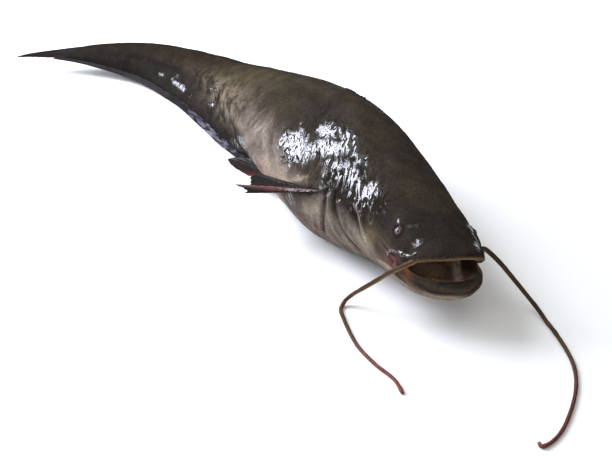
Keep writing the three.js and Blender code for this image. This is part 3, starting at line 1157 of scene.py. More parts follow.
    def folded(self, places: Points) -> tuple[Points, Points, Points, Points]:
        """What the folds do to the skin.

        Args:
            places: straight places.

        Returns:
            The height in millimetres, and the painted shade, the glow and the wetness from 0 to 1.
        """
        height, shade, glow, wet = np.zeros((4, len(places)))
        for fold in self.folds:
            for side in Side:
                near = bell(distance_to(places, fold.points(self.shape, side)), fold.width)
                height += fold.height * near
                shade = np.maximum(shade, fold.shade * near)
                glow = np.maximum(glow, fold.glow * near)
                wet = np.maximum(wet, fold.wet * smoothstep(0.3, 0.7, near))
        return height, shade, glow, wet

    def seams(self, chart: Chart) -> Points:
        """The furrows that run round the outside of the lower jaw below its rim.

        Args:
            chart: the places to look up.

        Returns:
            0 to about 1 at the deepest.
        """
        drop = self.shape.below_rim(chart.places)
        flat = chart.places * np.array([1, 1, 0])
        waver = noise_at(flat, (20, 20, 1), (0, 0, 2))
        high = 0.85 * bell(drop - 7.5 - 2 * waver, 2.2)
        low = 0.45 * bell(drop - 16.5 - 4 * waver, 2.2)
        return (high + low) * smoothstep(104, 70, chart.at)

    @staticmethod
    def unevenness(places: Points) -> Points:
        """Soft lumps, and small wrinkles that run round the fish."""
        lumps = noise_at(places, (34, 24, 24))
        return 0.8 * lumps + 0.28 * noise_at(places, (7.5, 20, 20), (0, 9, 0))

    def relief(
        self, chart: Chart, film: Points, inside: Points
    ) -> tuple[Points, Points, Points, Points]:
        """How far the skin stands out of its plain form, and the painted shade, paleness and wetness
        of its folds.

        Args:
            chart: where the skin's places lie.
            film: how wet the skin is.
            inside: 1 inside the mouth.

        Returns:
            The height in millimetres, and the painted shade, the glow and the wetness from 0 to 1.
        """
        height, shade, glow, wet = self.folded(chart.places)
        outside = 1 - inside
        eye = self.eye_distance(chart.places) - self.eye_rim
        socket = 0.8 * bell(eye, 1.5) - 0.4 * bell(eye - 3.2, 1.5)
        socket -= 3.0 * (1 - smoothstep(3.2, 5.0, eye + self.eye_rim))
        seams = self.seams(chart) * outside
        upper = distance_to(chart.places, self.shape.upper_lip_line())
        lip = 0.9 * bell(upper - 1.0, 2.6) * outside
        tight = np.maximum(chart.tightness(), 0.7 * smoothstep(0.3, 0.8, film))
        wrinkles = self.wrinkles.heights(chart.film()) * tight * outside
        height += socket + lip - 0.9 * seams + wrinkles
        height += self.unevenness(chart.places) * (1 - 0.6 * inside)
        # painted shade in the eye's socket and in the jaw's furrows
        shade = np.max([shade, 0.7 * bell(eye + 0.6, 1.3), seams], axis=0)
        drop = self.shape.below_rim(chart.places)
        lines = 0.25 * (bell(drop - 12, 1.7) + 0.6 * bell(drop - 2.5, 1.4))
        glow = np.maximum(glow, lines * smoothstep(100, 60, chart.at) * outside)
        return height, shade, glow, wet

    def lip_pull(self, places: Points) -> Points:
        """How the upper lip is drawn up at the right corner, and down and in at the left one.

        Args:
            places: straight places.

        Returns:
            How far each place moves, as rows of along, side and up.
        """
        near = smoothstep(64, 30, places[:, 0]) * smoothstep(-13, -3, places[:, 2])
        across = places[:, 1] / self.shape.upper.half
        right = np.clip(across, 0, 1) * near
        left = np.clip(-across, 0, 1) * near
        lip = distance_to(places, self.shape.upper_lip_line())
        sag = bell(lip, 14) * (2.4 + 2.2 * bell(places[:, 1] - 14, 18)) * near
        lift = 3.0 * right * smoothstep(34, 24, places[:, 0])
        return np.stack([0 * near, 5.0 * left**2, lift - 9 * left * (near - left) - sag], axis=1)

    def build(self, material: Material) -> Object:
        """Shapes, paints and poses the skin.

        Args:
            material: the wet skin.

        Returns:
            The piece.
        """
        mesh = self.straight_mesh()
        places = places_of(mesh)
        chart = Chart.of(self.shape, places)
        inside = self.gape.nearness(places)
        film = self.water.wetness(chart)
        height, shade, glow, wet = self.relief(chart, film, inside)
        marks = SkinMarks(mesh, self.shape, chart, film, inside)
        # painted shade of creases, furrows and eye sockets
        marks.mark("crease", shade)
        # pale folds and jaw lines, with painted highlights on ridges and painted light on belly and
        # throat
        marks.mark("glow", glow)
        marks.underside()
        marks.patterns()
        marks.shadows()
        marks.water(wet)
        marks.mouth()
        marks.flushed(self.eye_distance(places), self.eye_rim)
        shaped = places + normals_of(mesh) * height[:, None]
        move_to(mesh, shaped + self.lip_pull(places))
        bent(mesh, self.posture)
        return show(mesh, "fish", material)


# ---- Fins ----


@dataclass(frozen=True)
class Fin:
    """A fin whose rays run from a root line to an edge line, in straight millimetres."""

    name: str
    root: tuple[Triple, ...]
    edge: tuple[Triple, ...]
    rays: int
    thick: float
    thin: float
    outward: Triple
    notch: float = 0.05
    spine: float = 0  # how much thicker the fin is at its spine
    spine_at: float = 0
    # ray, place out along it, and how far it spreads both ways, then its strength
    flushes: tuple[tuple[float, ...], ...] = ()
    ridge: float = 0.16  # how far the rays stand out, as a share of the thickness
    wet: float = 0.4
    slime: float = 0  # how slimy its front part is, with a pale painted sheen

    RAY_FACES = 8
    FACES_AROUND = 44
    CLEAR = 0.2  # the least height above the surface
    SLIME_AND_SHEEN_AT = 552
    SLIME_AND_SHEEN_SIZE = 74

    def half_thickness(self, t: Points, out: Points) -> Points:
        """Half the fin's thickness.

        Args:
            t: places along the root, 0 to 1.
            out: places out along the rays, 0 to 1.

        Returns:
            One value for each place.
        """
        taper = np.exp(-out * 5)
        half = (self.thick * taper + self.thin * (1 - taper)) / 2
        ridge = np.clip(1.4 * np.cos(2 * math.pi * self.rays * t), -1, 1)
        half = half * (1 + self.ridge * ridge * smoothstep(0, 0.2, out))
        lead = bell(t - self.spine_at, 0.055) * (1 - 0.7 * smoothstep(0.7, 1, out))
        half = half + self.spine * lead
        return half * np.clip(np.minimum(t, 1 - t) * 60 + 0.25, 0, 1)

    def build(self, posture: Posture, material: Material) -> Object:
        """Shapes, paints and poses the fin.

        Args:
            posture: how the fish lies.
            material: the fin's finish.

        Returns:
            The piece.
        """
        columns = self.rays * self.RAY_FACES
        start, end = (route_points(line, columns + 1) for line in (self.root, self.edge))
        outward = np.array(self.outward) / np.linalg.norm(self.outward)

        def shape(t: Points, angle: Points) -> Points:
            """Points of the fin's two faces.

            Args:
                t: places along the root, 0 to 1.
                angle: angles round the fin, 0 at its root and pi at its edge.

            Returns:
                Rows of along, side and up.
            """
            i = np.rint(t * columns).astype(int)
            out = (1 - np.cos(angle)) / 2
            cut = self.notch * (1 - np.cos(2 * math.pi * self.rays * t)) / 2
            tip = end[i] + (start[i] - end[i]) * cut[:, None]
            centre = start[i] + (tip - start[i]) * out[:, None]
            half = self.half_thickness(t, out)
            return centre + outward * (half * power(np.sin(angle), 0.8))[:, None]

        mesh = as_mesh(tube(columns, self.FACES_AROUND, shape), self.name)
        self.paint_fin(mesh, start, end)
        bent(mesh, posture, self.CLEAR)
        return show(mesh, "fish", material)

    def paint_fin(self, mesh: Mesh, start: Points, end: Points) -> None:
        """Stores each vertex's ray and place along it, how flushed and wet it is, and its slime's
        painted sheen.

        Args:
            mesh: the fin, still straight.
            start: points along its root.
            end: points along its edge.
        """
        places = places_of(mesh)
        best = np.full(len(places), np.inf)
        ray = np.zeros(len(places))
        out = np.zeros(len(places))
        for i, (a, b) in enumerate(zip(start, end)):
            along = b - a
            t = np.clip((places - a) @ along / (along @ along), 0, 1)
            gap = np.linalg.norm(places - (a + t[:, None] * along), axis=1)
            nearer = gap < best
            best[nearer], ray[nearer], out[nearer] = gap[nearer], i, t[nearer]
        ray = ray / (len(start) - 1)
        flush = np.zeros(len(places))
        for at, far, wide, long, strength in self.flushes:
            near = bell(ray * self.rays - at, wide) * bell(out - far, long)
            flush = np.maximum(flush, strength * near)
        # slime on the fin's front part, with its pale colour a painted sheen
        slime = bell(places[:, 0] - self.SLIME_AND_SHEEN_AT, self.SLIME_AND_SHEEN_SIZE) * smoothstep(0.35, 0.75, out)
        slime = self.slime * slime
        paint(mesh, "ray", np.stack([ray * self.rays, out, ray], axis=1))
        paint(mesh, "flush", flush)
        paint(mesh, "spine", bell(ray - self.spine_at, 0.1) * (self.spine > 0))
        paint(mesh, "slime", slime)
        paint(mesh, "wet", np.maximum(self.wet, 0.6 * slime))


FINS = (
    Fin(
        "fin_pectoral_right",
        ((198, 64, -16), (210, 65, -24), (224, 66, -30)),
        (
            (287, 115, -79), (285, 114, -74), (301, 122, -76), (290, 112, -70), (294, 106, -67),
            (306, 100, -62), (302, 90, -54),
        ),
        rays=9, thick=7, thin=1.3, outward=(0.3, 0.5, -0.8), notch=0.015, spine=1.6, spine_at=0.33,
        flushes=((3, 0.64, 0.8, 0.14, 0.65), (3, 0.14, 0.8, 0.1, 0.5), (1, 0.6, 0.5, 0.2, 0.3)),
    ),
    Fin(
        "fin_pectoral_left",
        ((198, -67, -16), (210, -68, -24), (224, -68, -30)),
        ((302, -99, -12), (312, -98, -19), (306, -95, -26), (294, -92, -30)),
        rays=9, thick=7, thin=1.3, outward=(0.1, -1, -0.2), notch=0.05, spine=1.5,
        flushes=((0.3, 0.66, 0.8, 0.16, 1), (0.3, 0.12, 0.8, 0.12, 0.8)),
    ),
    Fin(
        "fin_pelvic_right",
        ((360, 36, -58), (364, 33, -67), (366, 30, -74)),
        ((399, 47, -62), (415, 53, -67), (426, 57, -76), (418, 50, -81), (394, 39, -82)),
        rays=7, thick=7, thin=1.4, outward=(-0.2, 0.9, 0.35), notch=0.02,
        flushes=((7, 0.55, 1.5, 0.5, 1),), wet=0.1,
    ),
    Fin(
        "fin_pelvic_left",
        ((350, -60, -40), (357, -59, -45), (366, -57, -48)),
        ((399, -73, -19), (413, -73, -20), (417, -70, -25), (408, -67, -31)),
        rays=7, thick=7, thin=1.4, outward=(0, -1, -0.4), notch=0.02,
        flushes=((7, 0.55, 1.5, 0.5, 1),), wet=0.1,
    ),
    Fin(
        "fin_dorsal",
        ((268, 0, 70), (280, 0, 72), (296, 0, 72)),
        ((294, -2, 81.75), (312, -5, 79.5), (332, -8, 79.5), (350, -10, 77), (352, -9, 74.5)),
        rays=6, thick=7, thin=1.6, outward=(0, 1, 0), notch=0.03, wet=0.05,
    ),
    Fin(
        "fin_anal",
        ((438, 0, -58), (500, 0, -44), (600, 0, -29), (700, 0, -21), (800, 0, -14), (930, 0, -5)),
        ANAL_EDGE,
        rays=72, thick=5, thin=1.5, outward=(0, 1, 0), notch=0.012, ridge=0.05, wet=0.03, slime=1,
    ),
    Fin(
        "fin_tail",
        ((896, 0, 12), (900, 0, 0), (896, 0, -10)),
        ((962, 0, 8), (988, 1, 8), (1006, 1, 5), (986, 0, 1), (958, 0, -6)),
        rays=12, thick=9, thin=1.4, outward=(0, 1, 0), notch=0.03, wet=0.04,
    ),
)


# ---- Whiskers ----


@dataclass(frozen=True)
class Whisker:
    """A barbel along a route: round, tapering, and resting on the surface at its far end."""

    name: str
    route: tuple[Triple, ...]
    root: float = 3.3
    tip: float = 1.9
    steps: int = 220
    around: int = 14
    reddish: float = 1
    bend: float = 0.3  # how far along it a flushed bend is, 0 to 1
    knot: float = 9  # the length of its knots
    knobby: float = 0.09  # how far they stand out, as a share of the radius
    bulb_at: float = 0.975  # where it swells just before its tip
    bulb: float = 0.2
    clear: float = 0.15  # the gap between it and the surface

    def radii(self, t: Points, length: float) -> Points:
        """The whisker's radius, with its knots, its bulb and its rounded ends.

        Args:
            t: places along it, 0 to 1.
            length: its length.

        Returns:
            The radius at each place.
        """
        radius = self.root + (self.tip - self.root) * t**0.5
        line = np.stack([t * length, 0 * t, 0 * t], axis=1)
        knots = noise_at(line, (self.knot, 1, 1), (0, 3.1, len(self.name)))
        bulb = 1 + self.bulb * bell(t - self.bulb_at, 0.014)
        radius = radius * (1 + self.knobby * knots) * bulb
        cap = np.minimum(t, 1 - t) * length / np.maximum(radius, 0.5)
        return radius * np.sqrt(np.clip(1 - (1 - np.clip(cap, 0, 1)) ** 2, 0.004, 1))

    def build(self, material: Material) -> Object:
        """Shapes, paints and places the whisker.

        Args:
            material: the whisker's finish.

        Returns:
            The piece.
        """
        line = route_points(self.route, self.steps + 1)
        line[:, 2] = np.maximum(line[:, 2], self.tip)
        ahead = np.gradient(line, axis=0)
        ahead /= np.linalg.norm(ahead, axis=1)[:, None]
        level = np.stack([-ahead[:, 1], ahead[:, 0], 0 * ahead[:, 0]], axis=1)
        level /= np.linalg.norm(level, axis=1)[:, None]
        upright = np.cross(ahead, level)
        length = np.linalg.norm(np.diff(line, axis=0), axis=1).sum()

        def shape(t: Points, angle: Points) -> Points:
            """Points of the whisker's skin.

            Args:
                t: places along it, 0 to 1.
                angle: angles from its top.

            Returns:
                Rows of x, y and z.
            """
            i = np.rint(t * self.steps).astype(int)
            radius = self.radii(t, length)
            centre = line[i].copy()
            centre[:, 2] = np.maximum(centre[:, 2], radius + self.clear)
            across = level[i] * (radius * np.sin(angle))[:, None]
            return centre + across + upright[i] * (radius * np.cos(angle))[:, None]

        mesh = as_mesh(tube(self.steps, self.around, shape), self.name)
        places = places_of(mesh)
        nearest = np.array([np.argmin(((line - p) ** 2).sum(axis=1)) for p in places])
        offset = places - line[nearest]
        reach = np.maximum(np.linalg.norm(offset, axis=1), 1e-6)
        turn = (offset * upright[nearest]).sum(axis=1) / reach
        part = nearest / self.steps
        paint(mesh, "course", np.stack([part * length * MM, turn, part], axis=1))
        bend = 0.6 * bell(part - self.bend, 0.05)
        paint(mesh, "flush", np.maximum(smoothstep(0.4, 1, part), bend) * self.reddish)
        move_to(mesh, places * MM)
        return show(mesh, "fish", material)


def long_whiskers(posture: Posture) -> list[Whisker]:
    """The two long barbels of the upper jaw, trailing on the surface.

    Args:
        posture: how the fish lies.

    Returns:
        The right and the left whisker.
    """
    right_root = tuple(posture.posed(np.array([[23, 42, 9]]))[0])
    left_root = tuple(posture.posed(np.array([[44, -46, 2]]))[0])
    right = (
        right_root, (235, -123, 76), (217, -128, 59), (203, -132, 44), (187, -137, 27),
        (175, -140, 14), (170, -146, 6), (174, -157, 0), (188, -167, 0), (233, -191, 0),
        (268, -200, 0), (300, -204, 0), (321, -214, 0),
    )
    left = (
        left_root, (263, -16, 62), (278, -8, 49), (296, -4, 34), (313, -1, 20), (336, -3, 8),
        (362, -13, 0), (412, -45, 0), (436, -72, 0), (455, -107, 0), (468, -143, 0),
        (470, -165, 0), (467, -174, 0), (461, -171, 0),
    )
    return [
        Whisker("whisker_right", right, bend=0.43),
        Whisker("whisker_left", left, reddish=0.8, bend=0.66),
    ]


def chin_whiskers(posture: Posture, shape: BodyShape) -> list[Whisker]:
    """The four short barbels of the chin, swept back along the throat.

    Args:
        posture: how the fish lies.
        shape: the body's cross sections.

    Returns:
        Two whiskers for each side.
    """
    made = []
    roots = ((34, 11), (44, 21))
    line = ((0, 6), (9, -1), (24, -2.5), (42, -3))  # behind the root, height above the jaw
    for side in Side:
        for number, (start, offset) in enumerate(roots, 1):
            rise = 14 * (offset / shape.lower.half) ** 2
            straight = []
            for behind, up in line:
                keel = float(shape.jaw_keel(start + behind))
                straight.append((start + behind, side.value * offset, keel + up + rise))
            route = tuple(tuple(p) for p in posture.posed(np.array(straight)))
            name = f"chin_whisker_{side.name.lower()}_{number}"
            made.append(Whisker(name, route, 2.4, 1.1, steps=50, around=10, reddish=0.4))
    return made


# ---- Eyes and mouth ----


@dataclass(frozen=True)
class Eye:
    """A small bulging eye: a clear dome over a pale iris with an upright pupil."""

    side: Side
    at: float = 68
    degrees: float = 66
    sunk: float = 3.7
    radius: float = 6
    bulge: float = 0.2  # how far the dome stands out over the iris
    bulge_size: float = 0.45
    gaze: Triple = (-0.6, 0.6, 0.42)  # the way it looks, for the right eye

    def build(self, posture: Posture, shape: BodyShape, material: Material) -> Object:
        """Shapes, paints and places the eye.

        Args:
            posture: how the fish lies.
            shape: the body's cross sections.
            material: the eye's finish.

        Returns:
            The piece.
        """
        spot = shape.spot(self.at, self.side.value * self.degrees, -self.sunk)
        ahead, side, up = self.gaze
        centre = posture.posed(spot)[0]
        proud = posture.posed(spot + np.array([ahead, side * self.side.value, up]))[0]
        outward = Vector(proud - centre).normalized()
        turn = outward.to_track_quat("Z", "Y").to_matrix().to_4x4()
        bm = bmesh.new()
        bmesh.ops.create_uvsphere(bm, u_segments=48, v_segments=32, radius=self.radius)
        iris = np.array([vert.co for vert in bm.verts]) / self.radius
        for vert in bm.verts:
            if vert.co.z > 0:
                reach = math.hypot(vert.co.x, vert.co.y) / self.radius
                vert.co.z += self.bulge * math.exp(-((reach / self.bulge_size) ** 2))
        node = f"eye_{self.side.name.lower()}"
        mesh = as_mesh(bm, f"{node}_dome")
        paint(mesh, "iris", iris)
        mesh.transform(Matrix.Translation(Vector(centre)) @ turn)
        mesh.transform(Matrix.Scale(MM, 4))
        return show(mesh, node, material)


@dataclass(frozen=True)
class ToothPad:
    """A velvet band of tiny teeth just inside a lip."""

    name: str
    lip: Points = field(repr=False)
    inward: float
    drop: float
    half: float = 3.2
    depth: float = 1.5
    grain: float = 0.9

    COLUMNS = 120
    FACES_AROUND = 20
    MIDDLE = (60, 0, 0)  # the place that both pads curve round
    ENDS = 10  # how many points of the lip are left free at each end

    def inwards(self, line: Points) -> Points:
        """Level unit vectors from each point of a line to the middle of the mouth."""
        ways = (np.array(self.MIDDLE) - line) * np.array([1, 1, 0])
        return ways / np.linalg.norm(ways, axis=1)[:, None]

    def build(self, posture: Posture, material: Material) -> Object:
        """Shapes, paints and poses the pad.

        Args:
            posture: how the fish lies.
            material: the mouth's finish.

        Returns:
            The piece.
        """
        lip = self.lip[self.ENDS:-self.ENDS]
        moved = lip + self.inwards(lip) * self.inward + np.array([0, 0, self.drop])
        path = route_points(moved, self.COLUMNS + 1)
        across = self.inwards(path)

        def shape(t: Points, angle: Points) -> Points:
            """Points of the pad's skin, with its grain.

            Args:
                t: places along the pad, 0 to 1.
                angle: angles from its inner side.

            Returns:
                Rows of along, side and up.
            """
            i = np.rint(t * self.COLUMNS).astype(int)
            taper = np.sqrt(np.clip(1 - (2 * t - 1) ** 6, 0.02, 1))
            flat = path[i] + across[i] * (self.half * taper * np.cos(angle))[:, None]
            grain = 1 + 0.35 * noise_at(flat, [1 / self.grain] * 3)
            up = self.depth * taper * np.sin(angle) * grain
            return flat + np.stack([0 * up, 0 * up, up], axis=1)

        mesh = as_mesh(tube(self.COLUMNS, self.FACES_AROUND, shape), self.name)
        bent(mesh, posture)
        return show(mesh, "fish", material)


def tooth_pads(shape: BodyShape) -> list[ToothPad]:
    """The tooth bands behind the upper and the lower lip.

    Args:
        shape: the body's cross sections.

    Returns:
        The upper and the lower band.
    """
    upper, lower = shape.upper_lip_line(), shape.lower_lip_line()[18:-14]
    return [
        ToothPad("tooth_band_upper", upper, inward=9, drop=-1.0),
        ToothPad("tooth_band_lower", lower, inward=15, drop=-1.2, half=1.5, depth=1.4),
    ]


@dataclass(frozen=True)
class Tongue:
    """A broad low pad on the floor of the mouth."""

    at: float = 56
    up: float = -22
    length: float = 34
    half: float = 31
    depth: float = 5
    narrowing: float = 0.18  # how much narrower it is at its back end
    rise: float = 0.12  # how far it climbs towards the throat
    fold: float = 0.3  # the height of the fold along its left half
    lumps: float = 0.08

    def build(self, posture: Posture, material: Material) -> Object:
        """Shapes and poses the tongue.

        Args:
            posture: how the fish lies.
            material: the mouth's finish.

        Returns:
            The piece.
        """
        bm = bmesh.new()
        bmesh.ops.create_uvsphere(bm, u_segments=56, v_segments=32, radius=1)
        for vert in bm.verts:
            x, y, z = vert.co
            fold = self.fold * math.exp(-(((y + 0.93 + 0.53 * x) / 0.13) ** 2)) * max(z, 0)
            lumps = self.lumps * noise.noise(Vector((x * 3, y * 4, z * 2)))
            vert.co = (
                self.at + self.length * x,
                self.half * y * (1 - self.narrowing * x),
                self.up + self.depth * (z + fold + lumps) + self.rise * self.length * x,
            )
        mesh = as_mesh(bm, "tongue")
        # the pale band: a painted highlight on the tongue
        paint(mesh, "ridge", mouth_highlight_band(places_of(mesh)))
        bent(mesh, posture)
        return show(mesh, "fish", material)


# ---- Finishes ----


Value = NodeSocket | float | Sequence[float]


class NodeBoard:
    """One node tree, with short ways to add and join its nodes."""

    def __init__(self, tree: NodeTree) -> None:
        """Keeps the tree that the nodes go into."""
        self.tree = tree

    def node(self, kind: str, inputs: dict | None = None, **settings: object) -> Node:
        """Adds a node.

        Args:
            kind: Blender's name for it.
            inputs: its input values or links, by name or number.
            **settings: its own settings.

        Returns:
            The node.
        """
        made = self.tree.nodes.new(kind)
        for name, value in settings.items():
            setattr(made, name, value)
        for name, value in (inputs or {}).items():
            self.feed(made.inputs[name], value)
        return made

    def feed(self, socket: NodeSocket, value: Value) -> None:
        """Links a socket to another, or sets its value.

        Args:
            socket: the socket to feed.
            value: the other socket, or the value.
        """
        if isinstance(value, NodeSocket):
            self.tree.links.new(value, socket)
        else:
            socket.default_value = value

    def number(self, name: str) -> NodeSocket:
        """A number painted on the mesh."""
        return self.node("ShaderNodeAttribute", attribute_name=name).outputs["Fac"]

    def vector(self, name: str) -> NodeSocket:
        """A vector painted on the mesh."""
        return self.node("ShaderNodeAttribute", attribute_name=name).outputs["Vector"]

    def parts(self, vector: Value) -> list[NodeSocket]:
        """The three parts of a vector."""
        return list(self.node("ShaderNodeSeparateXYZ", {0: vector}).outputs)

    def stretch(self, vector: Value, scale: Sequence[float]) -> NodeSocket:
        """A vector with each part scaled."""
        return self.node("ShaderNodeMapping", {"Vector": vector, "Scale": scale}).outputs[0]

    def maths(self, operation: str, a: Value, b: Value = 0.0) -> NodeSocket:
        """The result of a sum of one or two numbers."""
        return self.node("ShaderNodeMath", {0: a, 1: b}, operation=operation).outputs[0]

    def times(self, a: Value, b: Value) -> NodeSocket:
        """One number times another."""
        return self.maths("MULTIPLY", a, b)

    def plus(self, a: Value, b: Value) -> NodeSocket:
        """One number and another together."""
        return self.maths("ADD", a, b)

    def length(self, a: Value, b: Value) -> NodeSocket:
        """How far a place is from the middle, from its two parts."""
        return self.maths("SQRT", self.plus(self.times(a, a), self.times(b, b)))

    def scaled(self, vector: Value, scale: Value) -> NodeSocket:
        """A vector or a colour times a number."""
        made = self.node("ShaderNodeVectorMath", {0: vector, "Scale": scale}, operation="SCALE")
        return made.outputs[0]

    def ranged(
        self, value: Value, low: float, high: float, start: float = 0.0, end: float = 1.0
    ) -> NodeSocket:
        """A smooth rise from start, where the value is low, to end, where it is high."""
        inputs = {"Value": value, "From Min": low, "From Max": high, "To Min": start, "To Max": end}
        return self.node("ShaderNodeMapRange", inputs, interpolation_type="SMOOTHSTEP").outputs[0]

    def mix(self, a: Value, b: Value, factor: Value) -> NodeSocket:
        """The colour a, or b where the factor is 1, or a mix of both in between."""
        made = self.node("ShaderNodeMix", {0: factor, 6: a, 7: b}, data_type="RGBA")
        return made.outputs[2]

    def tint(self, colour: Value, over: Value, mark: str, amount: float) -> NodeSocket:
        """One colour with another laid over it, by an amount, where the mesh has a mark."""
        return self.mix(colour, over, self.times(self.number(mark), amount))

    def noise(
        self, vector: Value, scale: float, detail: float = 3, rough: float = 0.5, warp: float = 0
    ) -> NodeSocket:
        """A cloudy noise.

        Args:
            vector: where to look it up.
            scale: how fine it is.
            detail: how many finer layers it has.
            rough: how strong they are.
            warp: how much it is bent.

        Returns:
            The noise's socket, 0 to 1.
        """
        inputs = {"Vector": vector, "Scale": scale, "Detail": detail}
        inputs |= {"Roughness": rough, "Distortion": warp}
        return self.node("ShaderNodeTexNoise", inputs).outputs[0]

    def bump(self, height: Value, distance: float) -> NodeSocket:
        """A normal from a height."""
        return self.node("ShaderNodeBump", {"Height": height, "Distance": distance}).outputs[0]

    def group(self, tree: NodeTree, inputs: dict) -> Node:
        """Places a node group in a material.

        Args:
            tree: the group.
            inputs: its inputs by name.

        Returns:
            The group's node.
        """
        made = self.node("ShaderNodeGroup", node_tree=tree)
        for name, value in inputs.items():
            self.feed(made.inputs[name], value)
        return made

    def speckled(
        self, pigment: NodeTree, colour: Value, place: Value, strength: float
    ) -> NodeSocket:
        """A colour with the pigment group's specks and clouds, at a strength of 0 to 1."""
        inputs = {"Colour": colour, "Vector": place, "Strength": strength}
        return self.group(pigment, inputs).outputs[0]

    def surface(self, shader: Node) -> None:
        """Makes a shader the material's surface."""
        output = self.node("ShaderNodeOutputMaterial")
        self.feed(output.inputs["Surface"], shader.outputs[0])


def new_group(name: str, ins: dict[str, str], outs: dict[str, str]) -> tuple[NodeBoard, dict, dict]:
    """Starts a node group.

    Args:
        name: the group's name.
        ins: its inputs' names and kinds.
        outs: its outputs' names and kinds.

    Returns:
        The group's board, its inputs' sockets and its outputs' sockets.
    """
    tree = bpy.data.node_groups.new(name, "ShaderNodeTree")
    for names, way in ((ins, "INPUT"), (outs, "OUTPUT")):
        for label, kind in names.items():
            tree.interface.new_socket(label, in_out=way, socket_type=f"NodeSocket{kind}")
    given = tree.nodes.new("NodeGroupInput").outputs
    taken = tree.nodes.new("NodeGroupOutput").inputs
    return NodeBoard(tree), {n: given[n] for n in ins}, {n: taken[n] for n in outs}


def water_film_group() -> NodeTree:
    """Mucus and water on the skin: wrinkles and drops, and where the film is broken.

    Returns:
        A group that turns a vector in metres into a height and a wetness.
    """
    board, given, taken = new_group(
        "Water film",
        {"Vector": "Vector", "Wrinkle": "Float", "Wet": "Float"},
        {"Height": "Float", "Wetness": "Float"},
    )
    vector = given["Vector"]
    streaks = board.noise(board.stretch(vector, (165, 105, 110)), 1.0, 1.5, 0.45, 1.0)
    beads = board.times(board.noise(vector, 420, 2.0, 0.5), 0.16)
    grain = board.times(board.noise(vector, 1100, 2.0, 0.6), 0.03)
    ripples = board.times(streaks, given["Wrinkle"])
    board.feed(taken["Height"], board.plus(board.plus(ripples, beads), grain))
    flecks = board.noise(board.stretch(vector, (240, 190, 180)), 1.0, 2.0, 0.5, 2.6)
    patches = board.ranged(flecks, 0.44, 0.51, 0.06, 1.0)
    board.feed(taken["Wetness"], board.times(patches, given["Wet"]))
    return board.tree


def speckle_group() -> NodeTree:
    """Fine pigment specks and soft clouds that darken or lighten a colour.

    Returns:
        A group that turns a colour and a vector in metres into a mottled colour.
    """
    board, given, taken = new_group(
        "Pigment", {"Colour": "Color", "Vector": "Vector", "Strength": "Float"}, {"Colour": "Color"}
    )
    fine = board.ranged(board.noise(given["Vector"], 480, 3.0, 0.65), 0.3, 0.7, 0.62, 1.38)
    clouds = board.ranged(board.noise(given["Vector"], 42, 3.0, 0.6, 0.4), 0.3, 0.7, 0.74, 1.26)
    shaded = board.scaled(given["Colour"], board.times(fine, clouds))
    board.feed(taken["Colour"], board.mix(given["Colour"], shaded, given["Strength"]))
    return board.tree


@dataclass(frozen=True)
class Wetness:
    """What wet skin shares: the clear coat of mucus and water over it."""

    rough_wet: float = 0.13
    rough_damp: float = 0.9
    specular: float = 0.005
    coat: float = 1.0
    coat_ior: float = 1.95
    coat_roughness: float = 0.05
    relief: float = 0.0014
    wet: float = 0.3
    wrinkle: float = 1.0

    def shade(
        self,
        board: NodeBoard,
        colour: Value,
        vector: Value,
        film: NodeTree,
        wet: Value | None = None,
        wrinkle: Value | None = None,
    ) -> None:
        """Lays the wet shader over a colour.

        Args:
            board: the material's board, with its nodes cleared.
            colour: the skin's colour.
            vector: the place in metres that the film follows.
            film: the water film group.
            wet: how wet it is, if that varies.
            wrinkle: how wrinkled it is, if that varies.
        """
        wet = self.wet if wet is None else wet
        wrinkle = self.wrinkle if wrinkle is None else wrinkle
        layer = board.group(film, {"Vector": vector, "Wrinkle": wrinkle, "Wet": wet})
        depth = layer.outputs["Wetness"]
        shader = board.node("ShaderNodeBsdfPrincipled")
        board.feed(shader.inputs["Base Color"], colour)
        roughness = board.ranged(depth, 0.0, 1.0, self.rough_damp, self.rough_wet)
        board.feed(shader.inputs["Roughness"], roughness)
        shader.inputs["Specular IOR Level"].default_value = self.specular
        board.feed(shader.inputs["Coat Weight"], board.times(depth, self.coat))
        shader.inputs["Coat IOR"].default_value = self.coat_ior
        shader.inputs["Coat Roughness"].default_value = self.coat_roughness
        board.feed(shader.inputs["Normal"], board.bump(layer.outputs["Height"], self.relief))
        board.surface(shader)


def blank_material(name: str) -> tuple[Material, NodeBoard]:
    """Makes a node material with nothing in it yet.

    Args:
        name: the material's name.

    Returns:
        The material and its board.
    """
    material = bpy.data.materials.new(name)
    material.use_nodes = True
    material.node_tree.nodes.clear()
    return material, NodeBoard(material.node_tree)


